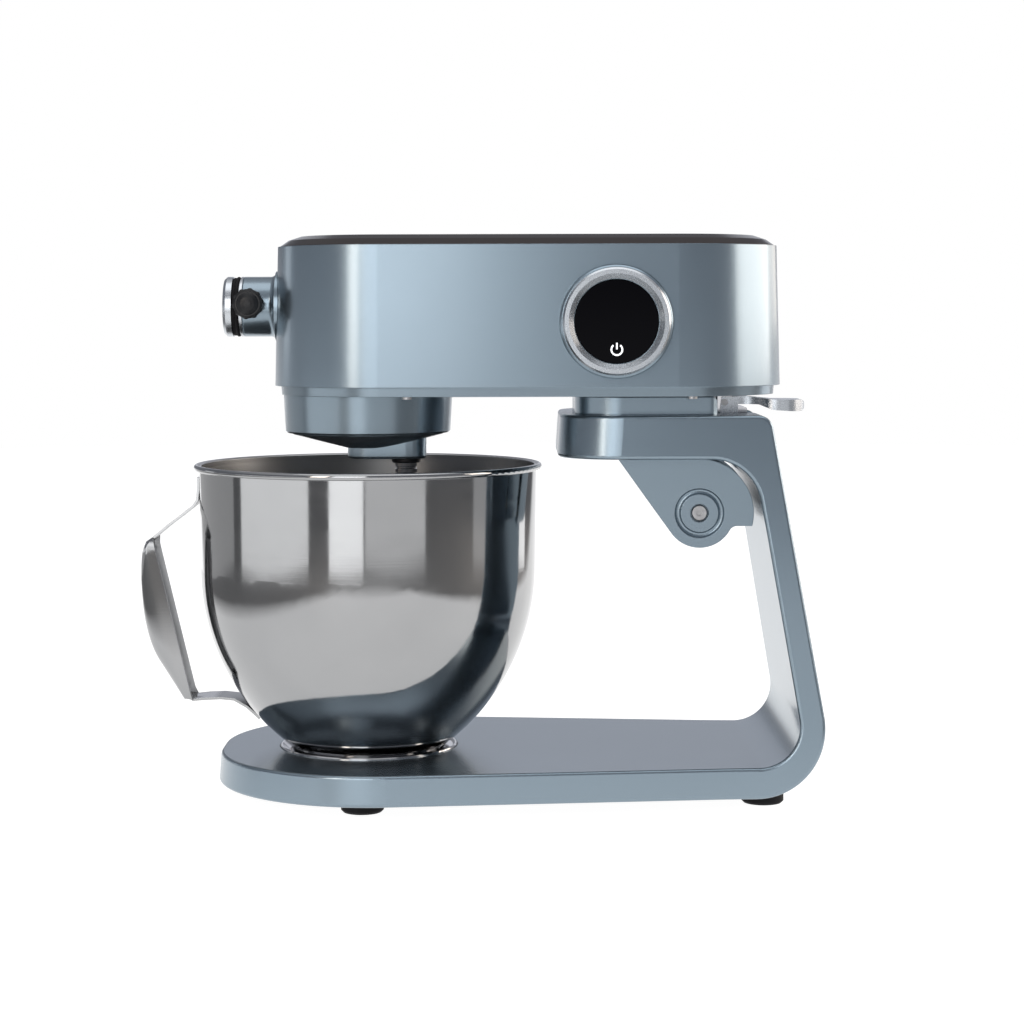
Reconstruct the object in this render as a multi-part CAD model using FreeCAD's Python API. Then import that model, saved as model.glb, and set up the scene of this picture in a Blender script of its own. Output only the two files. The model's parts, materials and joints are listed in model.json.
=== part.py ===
"""Tilt-head stand mixer: C-shaped cast stand, tilting head with planetary drive, and a bayonet bowl.

Row frame, in millimetres: +X runs from the bowl end to the hinge end, +Z is up, and the dial faces -Y.
The origin is the centre of the bounding box's bottom face, so the feet stand on Z = 0.
"""

import FreeCAD
import Part

import math
import os

V = FreeCAD.Vector

# ---- driving dimensions -------------------------------------------------------------------------

BOWL_X = -67.4          # vertical axis of the bowl and of the planetary drive
PIVOT_X = 138.3         # head hinge axis, parallel to Y
PIVOT_Z = 178.9

# stand
BASE_BOTTOM = 9.0
BASE_TOP = 27.5
BASE_FRONT = -160.2
SHELF_BOTTOM = 212.0
SHELF_TOP = 238.5
SHELF_FRONT = 52.2
ARM_LEAN = 0.167        # horizontal shift of the arm per unit of height
ARM_OUTER = 221.2       # where the arm's outer and inner faces would meet Z = 0
ARM_INNER = 205.9
ARM_HALF_WIDTH = 72.0
SIDE_DRAFT = 0.0684      # inward lean of the stand's sides per unit of height
EDGE_RADIUS = 2.0
CAST_WALL = 4.0
SLOT_HALF = 24.0        # slot that the hinge arm swings in
NECK_TOP = 249.4
FOOT_RADIUS = 13.0
FOOT_SPOTS = [(-67.0, -73.0), (-67.0, 73.0), (177.5, -48.0), (177.5, 48.0)]
PIN_RADIUS = 6.0

# head
HEAD_BOTTOM = 250.3     # flat underside of the chassis
HOUSING_BOTTOM = 256.0
HOUSING_TOP = 343.1
COVER_TOP = 349.5
HEAD_FRONT = -125.4
HEAD_REAR = 193.2
HEAD_HALF = 75.0
HEAD_CORNER = 68.0
HEAD_DRAFT = 1.8
HEAD_WALL = 3.0
LIP_INSET = 3.7
CASE_RADIUS = 53.9
CASE_BOTTOM = 226.0

# drive train
RING_MODULE = 1.5
RING_TEETH = 48
PLANET_TEETH = 16
PLANET_OFFSET = RING_MODULE * (RING_TEETH - PLANET_TEETH) / 2
SPUR_MODULE = 1.25
MAIN_TEETH = 60
JACK_TEETH = 15
JACK_X = BOWL_X + SPUR_MODULE * (MAIN_TEETH + JACK_TEETH) / 2
BEVEL_MODULE = 1.5
BEVEL_TEETH = 20
BEVEL_RADIUS = BEVEL_MODULE * BEVEL_TEETH / 2
PTO_Z = 305.7           # axis of the accessory drive, parallel to X
MOTOR_X = 100.0
MAIN_SHAFT_RADIUS = 6.0
OUTPUT_RADIUS = 7.0
SMALL_SHAFT_RADIUS = 4.0
RUNNING = 0.05          # radial clearance of a shaft in its bearing
GAP = 0.3               # clearance between other moving faces
BACKLASH = 0.35
PRESSURE_ANGLE = math.radians(20)

# dial, accessory hub and lever
DIAL_X = 87.2
DIAL_Z = 296.0
DIAL_PLANE = -74.0
HUB_RADIUS = 19.0
HUB_FRONT = -158.0
KNOB_X = -140.8
KNOB_Z = PTO_Z + 1.8
LEVER_PIN = (157.2, 245.0)

# bowl
BOWL_WALL = 1.2
BOWL_RIM_TOP = 206.4
BOWL_RADIUS = 106.3
STRAP_HALF = 12.5


# ---- shape helpers ------------------------------------------------------------------------------

def box(x, y, z):
    """Box from three (low, high) ranges."""
    return Part.makeBox(x[1] - x[0], y[1] - y[0], z[1] - z[0], V(x[0], y[0], z[0]))


def rod(radius, start, end):
    """Cylinder between two points."""
    along = V(*end) - V(*start)
    return Part.makeCylinder(radius, along.Length, V(*start), along)


def tube(outer, inner, start, end):
    return rod(outer, start, end).cut(rod(inner, start, end))


def fuse(shapes):
    first, rest = shapes[0], shapes[1:]
    return first.multiFuse(rest).removeSplitter() if rest else first


def cut(shape, tools):
    return shape.cut(tools)


def rounded_wire(corners):
    """Closed wire in the XY plane through (x, y, radius) corners, each rounded to its radius."""
    count = len(corners)
    joints = []
    for i in range(count):
        here = V(corners[i][0], corners[i][1], 0)
        before = V(corners[i - 1][0], corners[i - 1][1], 0) - here
        after = V(corners[(i + 1) % count][0], corners[(i + 1) % count][1], 0) - here
        before.normalize()
        after.normalize()
        radius = corners[i][2] if len(corners[i]) > 2 else 0
        if radius == 0:
            joints.append((here, here, here))
            continue
        half = before.getAngle(after) / 2
        bisector = before + after
        bisector.normalize()
        middle = here + bisector * (radius / math.sin(half) - radius)
        reach = radius / math.tan(half)
        joints.append((here + before * reach, middle, here + after * reach))
    edges = []
    for i, (enter, middle, leave) in enumerate(joints):
        if (leave - enter).Length > 1e-6:
            edges.append(Part.Arc(enter, middle, leave).toShape())
        following = joints[(i + 1) % count][0]
        if (following - leave).Length > 1e-6:
            edges.append(Part.LineSegment(leave, following).toShape())
    return Part.Wire(edges)


def plate(corners, low, high, inset=0.0):
    """Prism along Z of a rounded outline in X, Y."""
    face = Part.Face(rounded_wire(corners))
    if inset:
        face = face.makeOffset2D(-inset)
    face.translate(V(0, 0, low))
    return face.extrude(V(0, 0, high - low))


def side_plate(corners, low, high, inset=0.0):
    """Prism along Y of a rounded outline in X, Z."""
    solid = plate(corners, -high, -low, inset)
    solid.rotate(V(0, 0, 0), V(1, 0, 0), 90)
    return solid


def end_plate(corners, low, high, inset=0.0):
    """Prism along X of a rounded outline in Y, Z."""
    solid = plate(corners, low, high, inset)
    solid.rotate(V(0, 0, 0), V(1, 1, 1), 120)
    return solid


def turned(profile, origin, axis):
    """Solid of revolution of (radius, distance along axis) points about an axis through origin."""
    points = [V(r, 0, h) for r, h in profile]
    solid = Part.Face(Part.makePolygon(points + points[:1])).revolve(V(0, 0, 0), V(0, 0, 1), 360)
    solid.Placement = FreeCAD.Placement(V(*origin), FreeCAD.Rotation(V(0, 0, 1), V(*axis)))
    return solid


def rectangle(x, half_y, radius):
    """Corners of a rectangle that is symmetric about Y = 0, all with one radius."""
    return [(x[0], -half_y, radius), (x[1], -half_y, radius), (x[1], half_y, radius), (x[0], half_y, radius)]


def lofted(levels):
    """Ruled loft through (corners, z) outlines with equal corner counts."""
    wires = []
    for corners, z in levels:
        wire = rounded_wire(corners)
        wire.translate(V(0, 0, z))
        wires.append(wire)
    return Part.makeLoft(wires, True, True)


def mirrored(shape):
    return shape.mirror(V(0, 0, 0), V(0, 1, 0))


def rounded_edges(shape, radius, wanted):
    """Fillet of every edge for which wanted(edge) is true."""
    return shape.makeFillet(radius, [edge for edge in shape.Edges if wanted(edge)])


# ---- gears --------------------------------------------------------------------------------------

def involute(angle):
    return math.tan(angle) - angle


def gear_wire(module, teeth, thinning, addendum, dedendum):
    """Outline of an involute gear with a tooth centred on +X, its teeth thinned by thinning."""
    pitch = module * teeth / 2
    base = pitch * math.cos(PRESSURE_ANGLE)
    tip = pitch + addendum
    root = pitch - dedendum

    def half_angle(radius):
        pressure = math.acos(min(1.0, base / radius))
        return (math.pi * module / 2 - thinning) / (2 * pitch) + involute(PRESSURE_ANGLE) - involute(pressure)

    def at(radius, angle):
        return V(radius * math.cos(angle), radius * math.sin(angle), 0)

    edges = []
    step = 2 * math.pi / teeth
    flank = [max(root, base), (max(root, base) + tip) / 2, tip]
    for i in range(teeth):
        centre = i * step
        rising = [at(r, centre - half_angle(r)) for r in flank]
        falling = [at(r, centre + half_angle(r)) for r in reversed(flank)]
        foot_in = at(root, centre - half_angle(flank[0]))
        foot_out = at(root, centre + half_angle(flank[0]))
        next_foot = at(root, centre + step - half_angle(flank[0]))
        if root < base:
            edges.append(Part.LineSegment(foot_in, rising[0]).toShape())
        edges.append(Part.Arc(*rising).toShape())
        edges.append(Part.LineSegment(rising[2], falling[0]).toShape())
        edges.append(Part.Arc(*falling).toShape())
        if root < base:
            edges.append(Part.LineSegment(falling[2], foot_out).toShape())
        edges.append(Part.LineSegment(foot_out, next_foot).toShape())
    return Part.Wire(edges)


def spur_gear(module, teeth, x, z, bore):
    """Spur gear about a vertical axis at x, between the heights z, with a bore radius."""
    outline = gear_wire(module, teeth, BACKLASH, module, 1.25 * module)
    outline.translate(V(x, 0, z[0]))
    solid = Part.Face(outline).extrude(V(0, 0, z[1] - z[0]))
    return solid.cut(rod(bore, (x, 0, z[0] - 1), (x, 0, z[1] + 1)))


def bevel_gear():
    """Mitre gear on +Z with its cone's apex at the origin and its teeth below it, one towards +X."""
    face = 6.0
    reach = BEVEL_RADIUS / math.sin(math.radians(45))
    tip_angle = math.radians(45) + math.atan(BEVEL_MODULE / reach)
    root_angle = math.radians(45) - math.atan(1.25 * BEVEL_MODULE / reach)
    half = math.pi * BEVEL_MODULE / 4 - BACKLASH / 2
    lean = BEVEL_MODULE * math.tan(PRESSURE_ANGLE)

    def section(distance, extra=0.0):
        scale = distance / BEVEL_RADIUS
        low = distance * math.tan(root_angle) - extra
        high = distance * math.tan(tip_angle)
        wide = (half + 1.25 * lean) * scale
        narrow = (half - lean) * scale
        points = [V(low, -wide, 0), V(high, -narrow, 0), V(high, narrow, 0), V(low, wide, 0)]
        wire = Part.makePolygon(points + points[:1])
        wire.translate(V(0, 0, -distance))
        return wire

    inner = BEVEL_RADIUS - face * math.sin(math.radians(45))
    tooth = Part.makeLoft([section(BEVEL_RADIUS, 0.5), section(inner, 0.5)], True, True)
    root_outer = BEVEL_RADIUS * math.tan(root_angle)
    root_inner = inner * math.tan(root_angle)
    body = turned(
        [(0, -BEVEL_RADIUS - 2), (root_outer, -BEVEL_RADIUS - 2), (root_outer, -BEVEL_RADIUS),
         (root_inner, -inner), (0, -inner)], (0, 0, 0), (0, 0, 1))
    teeth = []
    for i in range(BEVEL_TEETH):
        copy = tooth.copy()
        copy.rotate(V(0, 0, 0), V(0, 0, 1), i * 360 / BEVEL_TEETH)
        teeth.append(copy)
    return body.multiFuse(teeth)


# ---- stand --------------------------------------------------------------------------------------

def arm_outer(z):
    return ARM_OUTER - ARM_LEAN * z


def arm_inner(z):
    return ARM_INNER - ARM_LEAN * z


SIDE_OUTLINE = [
    (BASE_FRONT - 20, BASE_BOTTOM),
    (arm_outer(BASE_BOTTOM), BASE_BOTTOM, 42),
    (arm_outer(SHELF_TOP), SHELF_TOP, 8.5),
    (SHELF_FRONT - 20, SHELF_TOP),
    (SHELF_FRONT - 20, SHELF_BOTTOM),
    (arm_inner(SHELF_BOTTOM), SHELF_BOTTOM, 30),
    (arm_inner(BASE_TOP), BASE_TOP, 25),
    (BASE_FRONT - 20, BASE_TOP),
]


def side_half(z):
    """Half width of the arm and shelf at height z."""
    return ARM_HALF_WIDTH + SIDE_DRAFT * (225 - z)


# outline of the stand from above, at Z = 0
STAND_PLAN = [
    (BASE_FRONT - 1, -120.4, 100),
    (162, -side_half(0), 300),
    (240, -side_half(0)),
    (240, side_half(0)),
    (162, side_half(0), 300),
    (BASE_FRONT - 1, 120.4, 100),
]
LOFT_TOP = 250.0
SHELF_CORNER = 38.0


def drafted_plan(inset):
    """The stand's plan as a tall prism whose sides lean inwards, moved in by inset."""
    face = Part.Face(rounded_wire(STAND_PLAN))
    bottom = face.makeOffset2D(-inset).OuterWire if inset else face.OuterWire
    top = face.makeOffset2D(-inset - SIDE_DRAFT * LOFT_TOP).OuterWire
    top.translate(V(0, 0, LOFT_TOP))
    return Part.makeLoft([bottom, top], True, True)


def shelf_limit(inset):
    """Space above the middle of the arm that rounds the shelf's front end."""
    levels = []
    for z in (120.0, LOFT_TOP):
        front = SHELF_FRONT + SIDE_DRAFT * (z - SHELF_BOTTOM) + inset
        half = side_half(z) - inset
        radius = SHELF_CORNER - inset
        levels.append(([(front, -half, radius), (260, -half), (260, half), (front, half, radius)], z))
    return lofted(levels)


def stand_body(inset):
    """The stand's outer form moved inwards by inset."""
    body = side_plate(SIDE_OUTLINE, -130, 130, inset).common(drafted_plan(inset))
    lower = body.common(box((-300, 300), (-150, 150), (0, 120)))
    upper = body.common(box((-300, 300), (-150, 150), (120, LOFT_TOP))).common(shelf_limit(inset))
    return lower.fuse(upper).removeSplitter()


def is_drafted(face):
    """True for the leaning side faces of the stand."""
    low_u, high_u, low_v, high_v = face.ParameterRange
    normal = face.normalAt((low_u + high_u) / 2, (low_v + high_v) / 2)
    return abs(abs(normal.z) - SIDE_DRAFT) < 0.035


def rim_edges(shape):
    """Edges where a drafted side face meets any other face."""
    edges = []
    for edge in shape.Edges:
        sides = [is_drafted(face) for face in shape.ancestorsOfType(edge, Part.Face)]
        if sides.count(True) == 1 and len(sides) == 2:
            edges.append(edge)
    return edges


def slot_profile(grow):
    """Side outline of the slot that the hinge arm and the lever block swing through."""
    return [
        (82 - grow, 198 - grow),
        (166 + grow, 198 - grow),
        (177 + grow, 214 - grow),
        (240, 214 - grow),
        (240, 270),
        (82 - grow, 270),
    ]


def c_frame():
    outer = stand_body(0)
    outer = outer.makeFillet(EDGE_RADIUS, rim_edges(outer))
    cavity = stand_body(CAST_WALL)
    cavity = cavity.cut(side_plate(slot_profile(CAST_WALL), -SLOT_HALF - CAST_WALL, SLOT_HALF + CAST_WALL))
    opening = plate(STAND_PLAN, BASE_BOTTOM - 1, BASE_BOTTOM + CAST_WALL + 0.5, CAST_WALL + 1)
    opening = opening.common(box((-300, 172), (-150, 150), (0, 20)))
    frame = outer.cut(cavity).cut(opening)
    seat_post = tube(62, 53.5, (BOWL_X, 0, 17.5), (BOWL_X, 0, BASE_TOP - 1))
    seat_floor = tube(60, 30, (BOWL_X, 0, 16), (BOWL_X, 0, 19.8))
    frame = fuse([frame, seat_post, seat_floor] + [foot_boss(x, y) for x, y in FOOT_SPOTS])
    tools = [
        rod(56.4, (BOWL_X, 0, 19.8), (BOWL_X, 0, BASE_TOP + 1)),
        side_plate(slot_profile(0), -SLOT_HALF, SLOT_HALF),
        rod(7.5, (arm_inner(62) + 2, 0, 62), (arm_outer(62) + 5, 0, 62)),
    ]
    tools += [rod(1.7, (x, y, BASE_BOTTOM - 1), (x, y, 18)) for x, y in FOOT_SPOTS]
    tools += [rod(1.7, (x, y, 15), (x, y, 21)) for x, y in lock_screw_spots()]
    return cut(frame, tools)


def foot_boss(x, y):
    return rod(14.0, (x, y, BASE_BOTTOM), (x, y, 17))


def lock_screw_spots():
    return polar_spots(BOWL_X, 0, 42, 3, 90)


def polar_spots(x, y, radius, count, first):
    spots = []
    for i in range(count):
        angle = math.radians(first + i * 360 / count)
        spots.append((x + radius * math.cos(angle), y + radius * math.sin(angle)))
    return spots


def base_cover():
    sheet = plate(STAND_PLAN, BASE_BOTTOM + 0.4, BASE_BOTTOM + 2.4, CAST_WALL + 1.4)
    sheet = sheet.common(box((-300, 171.5), (-150, 150), (0, 20)))
    holes = [rod(14.6, (x, y, 5), (x, y, 20)) for x, y in FOOT_SPOTS]
    holes += [rod(1.6, (x, y, 5), (x, y, 20)) for x, y in cover_screw_spots()]
    return cut(sheet, holes)


def cover_screw_spots():
    return [(-130, 0), (20, -84), (20, 84), (140, -70), (140, 70)]


def feet():
    shapes = []
    for x, y in FOOT_SPOTS:
        pad = turned([(0, 0), (11.6, 0), (13, 1.4), (13, 6.2), (12, BASE_BOTTOM), (0, BASE_BOTTOM)],
                     (x, y, 0), (0, 0, 1))
        well = turned([(0, -1), (4.2, -1), (4.2, 5), (1.6, 5), (1.6, 10), (0, 10)], (x, y, 0), (0, 0, 1))
        shapes.append(pad.cut(well))
    return Part.makeCompound(shapes)


def screw(x, y, head_z, head_radius, head_height, shank_radius, length):
    """Pan-head screw pointing up, its head's bearing face at head_z, with a cross recess."""
    head = rod(head_radius, (x, y, head_z - head_height), (x, y, head_z))
    shank = rod(shank_radius, (x, y, head_z - 0.1), (x, y, head_z + length))
    arm = head_radius * 0.6
    recess = [box((x - arm, x + arm), (y - 0.4, y + 0.4), (head_z - head_height, head_z - head_height * 0.4)),
              box((x - 0.4, x + 0.4), (y - arm, y + arm), (head_z - head_height, head_z - head_height * 0.4))]
    return head.fuse(shank).cut(recess)


def base_screws():
    shapes = [screw(x, y, 5.0, 3.6, 2.0, 1.5, 12.0) for x, y in FOOT_SPOTS]
    shapes += [screw(x, y, BASE_BOTTOM + 0.4, 2.6, 0.9, 1.4, 6.0) for x, y in cover_screw_spots()]
    return Part.makeCompound(shapes)


BAYONET_COUNT = 3
BAYONET_HALF_ANGLE = 14.0


def sector(inner, outer, z, centre, half_angle):
    """Part of a ring about the bowl axis, between the heights z."""
    whole = tube(outer, inner, (BOWL_X, 0, z[0]), (BOWL_X, 0, z[1]))
    wedge = Part.makeCylinder(outer + 5, z[1] - z[0], V(BOWL_X, 0, z[0]), V(0, 0, 1), 2 * half_angle)
    wedge.rotate(V(BOWL_X, 0, 0), V(0, 0, 1), centre - half_angle)
    return whole.common(wedge)


def lug_ring(inner, outer, z, half_angle):
    """The bayonet's lugs, evenly spaced round the bowl axis."""
    return [sector(inner, outer, z, i * 360 / BAYONET_COUNT, half_angle) for i in range(BAYONET_COUNT)]


def bowl_lock_plate():
    dish = turned([(0, 20), (56, 20), (56, 27.9), (55.4, 28.5), (54.6, 28.5), (50.4, 24.5), (50.4, 22.2),
                   (0, 22.2)], (BOWL_X, 0, 0), (0, 0, 1))
    plate_shape = fuse([dish] + lug_ring(48.4, 54.5, (25.6, 27.2), BAYONET_HALF_ANGLE))
    holes = [rod(1.8, (x, y, 19), (x, y, 30)) for x, y in lock_screw_spots()]
    return cut(plate_shape, holes + [rod(16, (BOWL_X, 0, 19), (BOWL_X, 0, 30))])


def lock_plate_screws():
    shapes = []
    for x, y in lock_screw_spots():
        head = rod(3.2, (x, y, 22.25), (x, y, 23.2))
        shank = rod(1.5, (x, y, 12), (x, y, 22.3))
        shapes.append(head.fuse(shank).cut(box((x - 2, x + 2), (y - 0.35, y + 0.35), (22.8, 24))))
    return Part.makeCompound(shapes)


NECK_X = (63.2, 150.5)
NECK_HALF = 56.0


def neck_collar():
    outline = rectangle(NECK_X, NECK_HALF, 28)
    outline[1] = outline[1][:2] + (6,)
    outline[2] = outline[2][:2] + (6,)
    wall = plate(outline, SHELF_TOP, NECK_TOP).cut(plate(outline, SHELF_TOP - 1, NECK_TOP - 2.5, 3.5))
    wall = wall.cut(box((76, 200), (-SLOT_HALF, SLOT_HALF), (SHELF_TOP - 1, NECK_TOP + 1)))
    rear, top = NECK_X[1], NECK_TOP
    return wall.cut(side_plate([(rear - 3.4, top + 1), (rear + 1, top + 1), (rear + 1, top - 3.4)], -70, 70))


CHEEK_OUTER = 62.0
CHEEK_INNER = 24.5
CHEEK_LOBE = 21.2
CHEEK_SLANT = math.radians(54.5)
CHEEK_SHOULDER = 170.9
CHEEK_FILLET = 5.0


def on_circle(centre, radius, angle):
    """Point of a circle in the XZ plane, its angle in degrees from +X towards +Z."""
    turn = math.radians(angle)
    return centre + V(radius * math.cos(turn), 0, radius * math.sin(turn))


def cheek(inset, low, high):
    """Prism along Y of a hinge cheek: slanted front, round lobe, filleted shoulder and an arc behind."""
    pivot = V(PIVOT_X, 0, PIVOT_Z)
    top = SHELF_BOTTOM - inset
    shoulder = CHEEK_SHOULDER + inset
    lobe = CHEEK_LOBE - inset
    rear = SHELF_BOTTOM - PIVOT_Z - inset
    touch = pivot - V(lobe * math.sin(CHEEK_SLANT), 0, lobe * math.cos(CHEEK_SLANT))
    corner = V(touch.x - (top - touch.z) / math.tan(CHEEK_SLANT), 0, top)
    reach = CHEEK_LOBE + CHEEK_FILLET
    drop = PIVOT_Z - CHEEK_SHOULDER + CHEEK_FILLET
    hollow = pivot + V(math.sqrt(reach ** 2 - drop ** 2), 0, -drop)
    joint = pivot + (hollow - pivot) * (lobe / reach)
    start = hollow + V(0, 0, shoulder - hollow.z)
    bend = on_circle(hollow, shoulder - hollow.z, (90 + 180 - math.degrees(math.asin(drop / reach))) / 2)
    end = pivot + V(math.sqrt(rear ** 2 - (PIVOT_Z - shoulder) ** 2), 0, shoulder - PIVOT_Z)
    edges = [
        Part.LineSegment(corner, touch),
        Part.Arc(touch, on_circle(pivot, lobe, -90), joint),
        Part.Arc(joint, bend, start),
        Part.LineSegment(start, end),
        Part.Arc(end, on_circle(pivot, rear, 45), on_circle(pivot, rear, 90)),
        Part.LineSegment(on_circle(pivot, rear, 90), corner),
    ]
    face = Part.Face(Part.Wire([edge.toShape() for edge in edges]))
    face.translate(V(0, low, 0))
    return face.extrude(V(0, high - low, 0))


def hinge_cheek():
    """Hollow cheek on the dial's side, with a round groove and a bolt recess in its outer face."""
    solid = cheek(0, -CHEEK_OUTER, -CHEEK_INNER)
    hollow = cheek(CAST_WALL, -CHEEK_OUTER + CAST_WALL, -CHEEK_INNER + 1)
    pin_boss = rod(12, (PIVOT_X, -CHEEK_OUTER + 1, PIVOT_Z), (PIVOT_X, -CHEEK_INNER, PIVOT_Z))
    groove = Part.makeTorus(13.3, 1.8, V(PIVOT_X, -CHEEK_OUTER, PIVOT_Z), V(0, 1, 0))

    def hole(radius, start, end):
        return rod(radius, (PIVOT_X, start, PIVOT_Z), (PIVOT_X, end, PIVOT_Z))

    recess = hole(5.6, -CHEEK_OUTER - 1, -CHEEK_OUTER + 3)
    bore = hole(PIN_RADIUS, -CHEEK_OUTER + 8, 0)
    bolt_hole = hole(3.1, -CHEEK_OUTER - 1, 0)
    return cut(solid.cut(hollow).fuse(pin_boss), [groove, recess, bore, bolt_hole])


def hinge_cheek_far():
    return mirrored(hinge_cheek())


def hinge_pin():
    end = CHEEK_OUTER - 8.2
    pin = rod(PIN_RADIUS, (PIVOT_X, -end, PIVOT_Z), (PIVOT_X, end, PIVOT_Z))
    thread = rod(3.0, (PIVOT_X, -end, PIVOT_Z), (PIVOT_X, -end + 16, PIVOT_Z))
    return cut(pin, [thread, mirrored(thread)])


def hinge_bolt():
    """Bolt in the near end of the hinge pin, its head sunk in the cheek, with a hexagon socket."""
    seat = -CHEEK_OUTER + 3
    head = turned([(0, 0), (5.0, 0), (5.0, 1.7), (4.3, 2.5), (0, 2.5)], (PIVOT_X, seat, PIVOT_Z), (0, -1, 0))
    shank = rod(2.95, (PIVOT_X, seat - 0.1, PIVOT_Z), (PIVOT_X, seat + 17, PIVOT_Z))
    centre = V(PIVOT_X, seat - 4, PIVOT_Z)
    hexagon = [on_circle(centre, 1.9, 60 * i) for i in range(6)]
    socket = Part.Face(Part.makePolygon(hexagon + hexagon[:1])).extrude(V(0, 3.2, 0))
    return head.fuse(shank).cut(socket)


def hinge_bolts():
    bolt = hinge_bolt()
    return Part.makeCompound([bolt, mirrored(bolt)])


def latch_strike():
    """Two steel steps on the slot's side walls, just inside the path of the lever's teeth."""
    step = side_plate([(152, 227), (160, 227), (160, 233.4, 1), (152, 234.6, 1)], -SLOT_HALF, -20.4)
    return Part.makeCompound([step, mirrored(step)])


def cord_grommet():
    lean = (1, 0, 0)
    sleeve = turned([(3.6, 0), (7.4, 0), (7.4, 7.4), (3.6, 7.4)], (arm_outer(62) - 7.6, 0, 62), lean)
    return sleeve.common(side_plate(SIDE_OUTLINE, -20, 20, 0.2))


# ---- head ---------------------------------------------------------------------------------------

def head_outline(z, inset):
    """Rounded rectangle of the housing at height z, moved inwards by inset."""
    draft = HEAD_DRAFT * (z - HOUSING_BOTTOM) / (HOUSING_TOP - HOUSING_BOTTOM) + inset
    return rectangle((HEAD_FRONT + draft, HEAD_REAR - draft), HEAD_HALF - draft, HEAD_CORNER - draft)


def head_prism(low, high, inset):
    return lofted([(head_outline(low, inset), low), (head_outline(high, inset), high)])


HOUSING_POSTS = [(-40, -65.0), (-40, 65.0), (40, 65.0), (134, -65.0), (134, 65.0)]


def head_housing():
    shell = head_prism(HOUSING_BOTTOM, HOUSING_TOP, 0)
    shell = shell.cut(head_prism(HOUSING_BOTTOM - 1, HOUSING_TOP + 1, HEAD_WALL))
    posts = []
    for x, y in HOUSING_POSTS:
        wall_y = y + math.copysign(7, y)
        post = box((x - 5, x + 5), (min(y, wall_y), max(y, wall_y)), (HOUSING_BOTTOM + 6.5, 282))
        post = post.fuse(rod(5, (x, y, HOUSING_BOTTOM + 6.5), (x, y, 282)))
        posts.append(post.common(head_prism(HOUSING_BOTTOM, HOUSING_TOP, 1)))
    shell = fuse([shell] + posts)
    holes = [rod(1.6, (x, y, 250), (x, y, 275)) for x, y in HOUSING_POSTS]
    holes.append(rod(29.0, (DIAL_X, DIAL_PLANE - 5, DIAL_Z), (DIAL_X, DIAL_PLANE + 8, DIAL_Z)))
    holes.append(rod(16.2, (HEAD_FRONT - 5, 0, PTO_Z), (HEAD_FRONT + 8, 0, PTO_Z)))
    return cut(shell, holes)


def head_top_cover():
    z = HOUSING_TOP
    outside = ((1.0, z), (6.5, z + 3.9), (14.0, COVER_TOP))
    inside = ((4.0, z - 1), (8.5, z + 1.9), (16.0, COVER_TOP - 2.2))
    outer = lofted([(head_outline(z, inset), top) for inset, top in outside])
    inner = lofted([(head_outline(z, inset), top) for inset, top in inside])
    skirt = head_prism(z - 5, z, HEAD_WALL + 0.3).cut(head_prism(z - 6, z + 1, HEAD_WALL + 2.0))
    return fuse([outer.cut(inner), skirt])


def head_chassis():
    lip = lofted([(head_outline(HOUSING_BOTTOM, LIP_INSET + 0.5), HEAD_BOTTOM),
                  (head_outline(HOUSING_BOTTOM, LIP_INSET), HOUSING_BOTTOM)])
    spigot = head_prism(HOUSING_BOTTOM, HOUSING_BOTTOM + 4, HEAD_WALL + 0.3)
    case = turned([(0, CASE_BOTTOM), (51.2, CASE_BOTTOM), (52.2, CASE_BOTTOM + 1),
                   (CASE_RADIUS - 0.4, HEAD_BOTTOM), (0, HEAD_BOTTOM)], (BOWL_X, 0, 0), (0, 0, 1))
    tray = plate(rectangle((HEAD_FRONT + 12, HEAD_REAR - 12), HEAD_HALF - 12, 56), HEAD_BOTTOM + 3.2, 280)
    keep = fuse([rod(24, (BOWL_X, 0, 250), (BOWL_X, 0, 257.9)), rod(14, (JACK_X, 0, 250), (JACK_X, 0, 257))])
    body = fuse([lip, spigot, case]).cut(tray.cut(keep))
    tools = [
        rod(49.3, (BOWL_X, 0, CASE_BOTTOM - 1), (BOWL_X, 0, 229.6)),
        rod(46.0, (BOWL_X, 0, 229), (BOWL_X, 0, 241.0)),
        rod(13.0, (BOWL_X, 0, 240), (BOWL_X, 0, 249.5)),
        rod(MAIN_SHAFT_RADIUS + 1.5, (BOWL_X, 0, 240), (BOWL_X, 0, 260)),
        rod(8.0, (JACK_X, 0, 251.5), (JACK_X, 0, 260)),
    ]
    tools += [rod(1.8, (x, y, 245), (x, y, 265)) for x, y in HOUSING_POSTS]
    return cut(body, tools)


def ring_gear():
    cavity = gear_wire(RING_MODULE, RING_TEETH, -BACKLASH, 1.25 * RING_MODULE, 0.9 * RING_MODULE)
    cavity.translate(V(BOWL_X, 0, 229))
    blank = rod(45.95, (BOWL_X, 0, 230.2), (BOWL_X, 0, 240.9))
    return blank.cut(Part.Face(cavity).extrude(V(0, 0, 14)))


def bearing(centre, axis, width, outer, inner):
    """Ball bearing as one turned ring with a groove on each face."""
    race, groove = 1.4, 0.6
    profile = [(inner, 0), (inner + race, 0), (inner + race, groove), (outer - race, groove),
               (outer - race, 0), (outer, 0), (outer, width), (outer - race, width),
               (outer - race, width - groove), (inner + race, width - groove), (inner + race, width),
               (inner, width)]
    return turned(profile, centre, axis)


BRIDGE_Z = (283.0, 287.0)
PTO_BEARING_X = (-112.0, -104.0)


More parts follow.
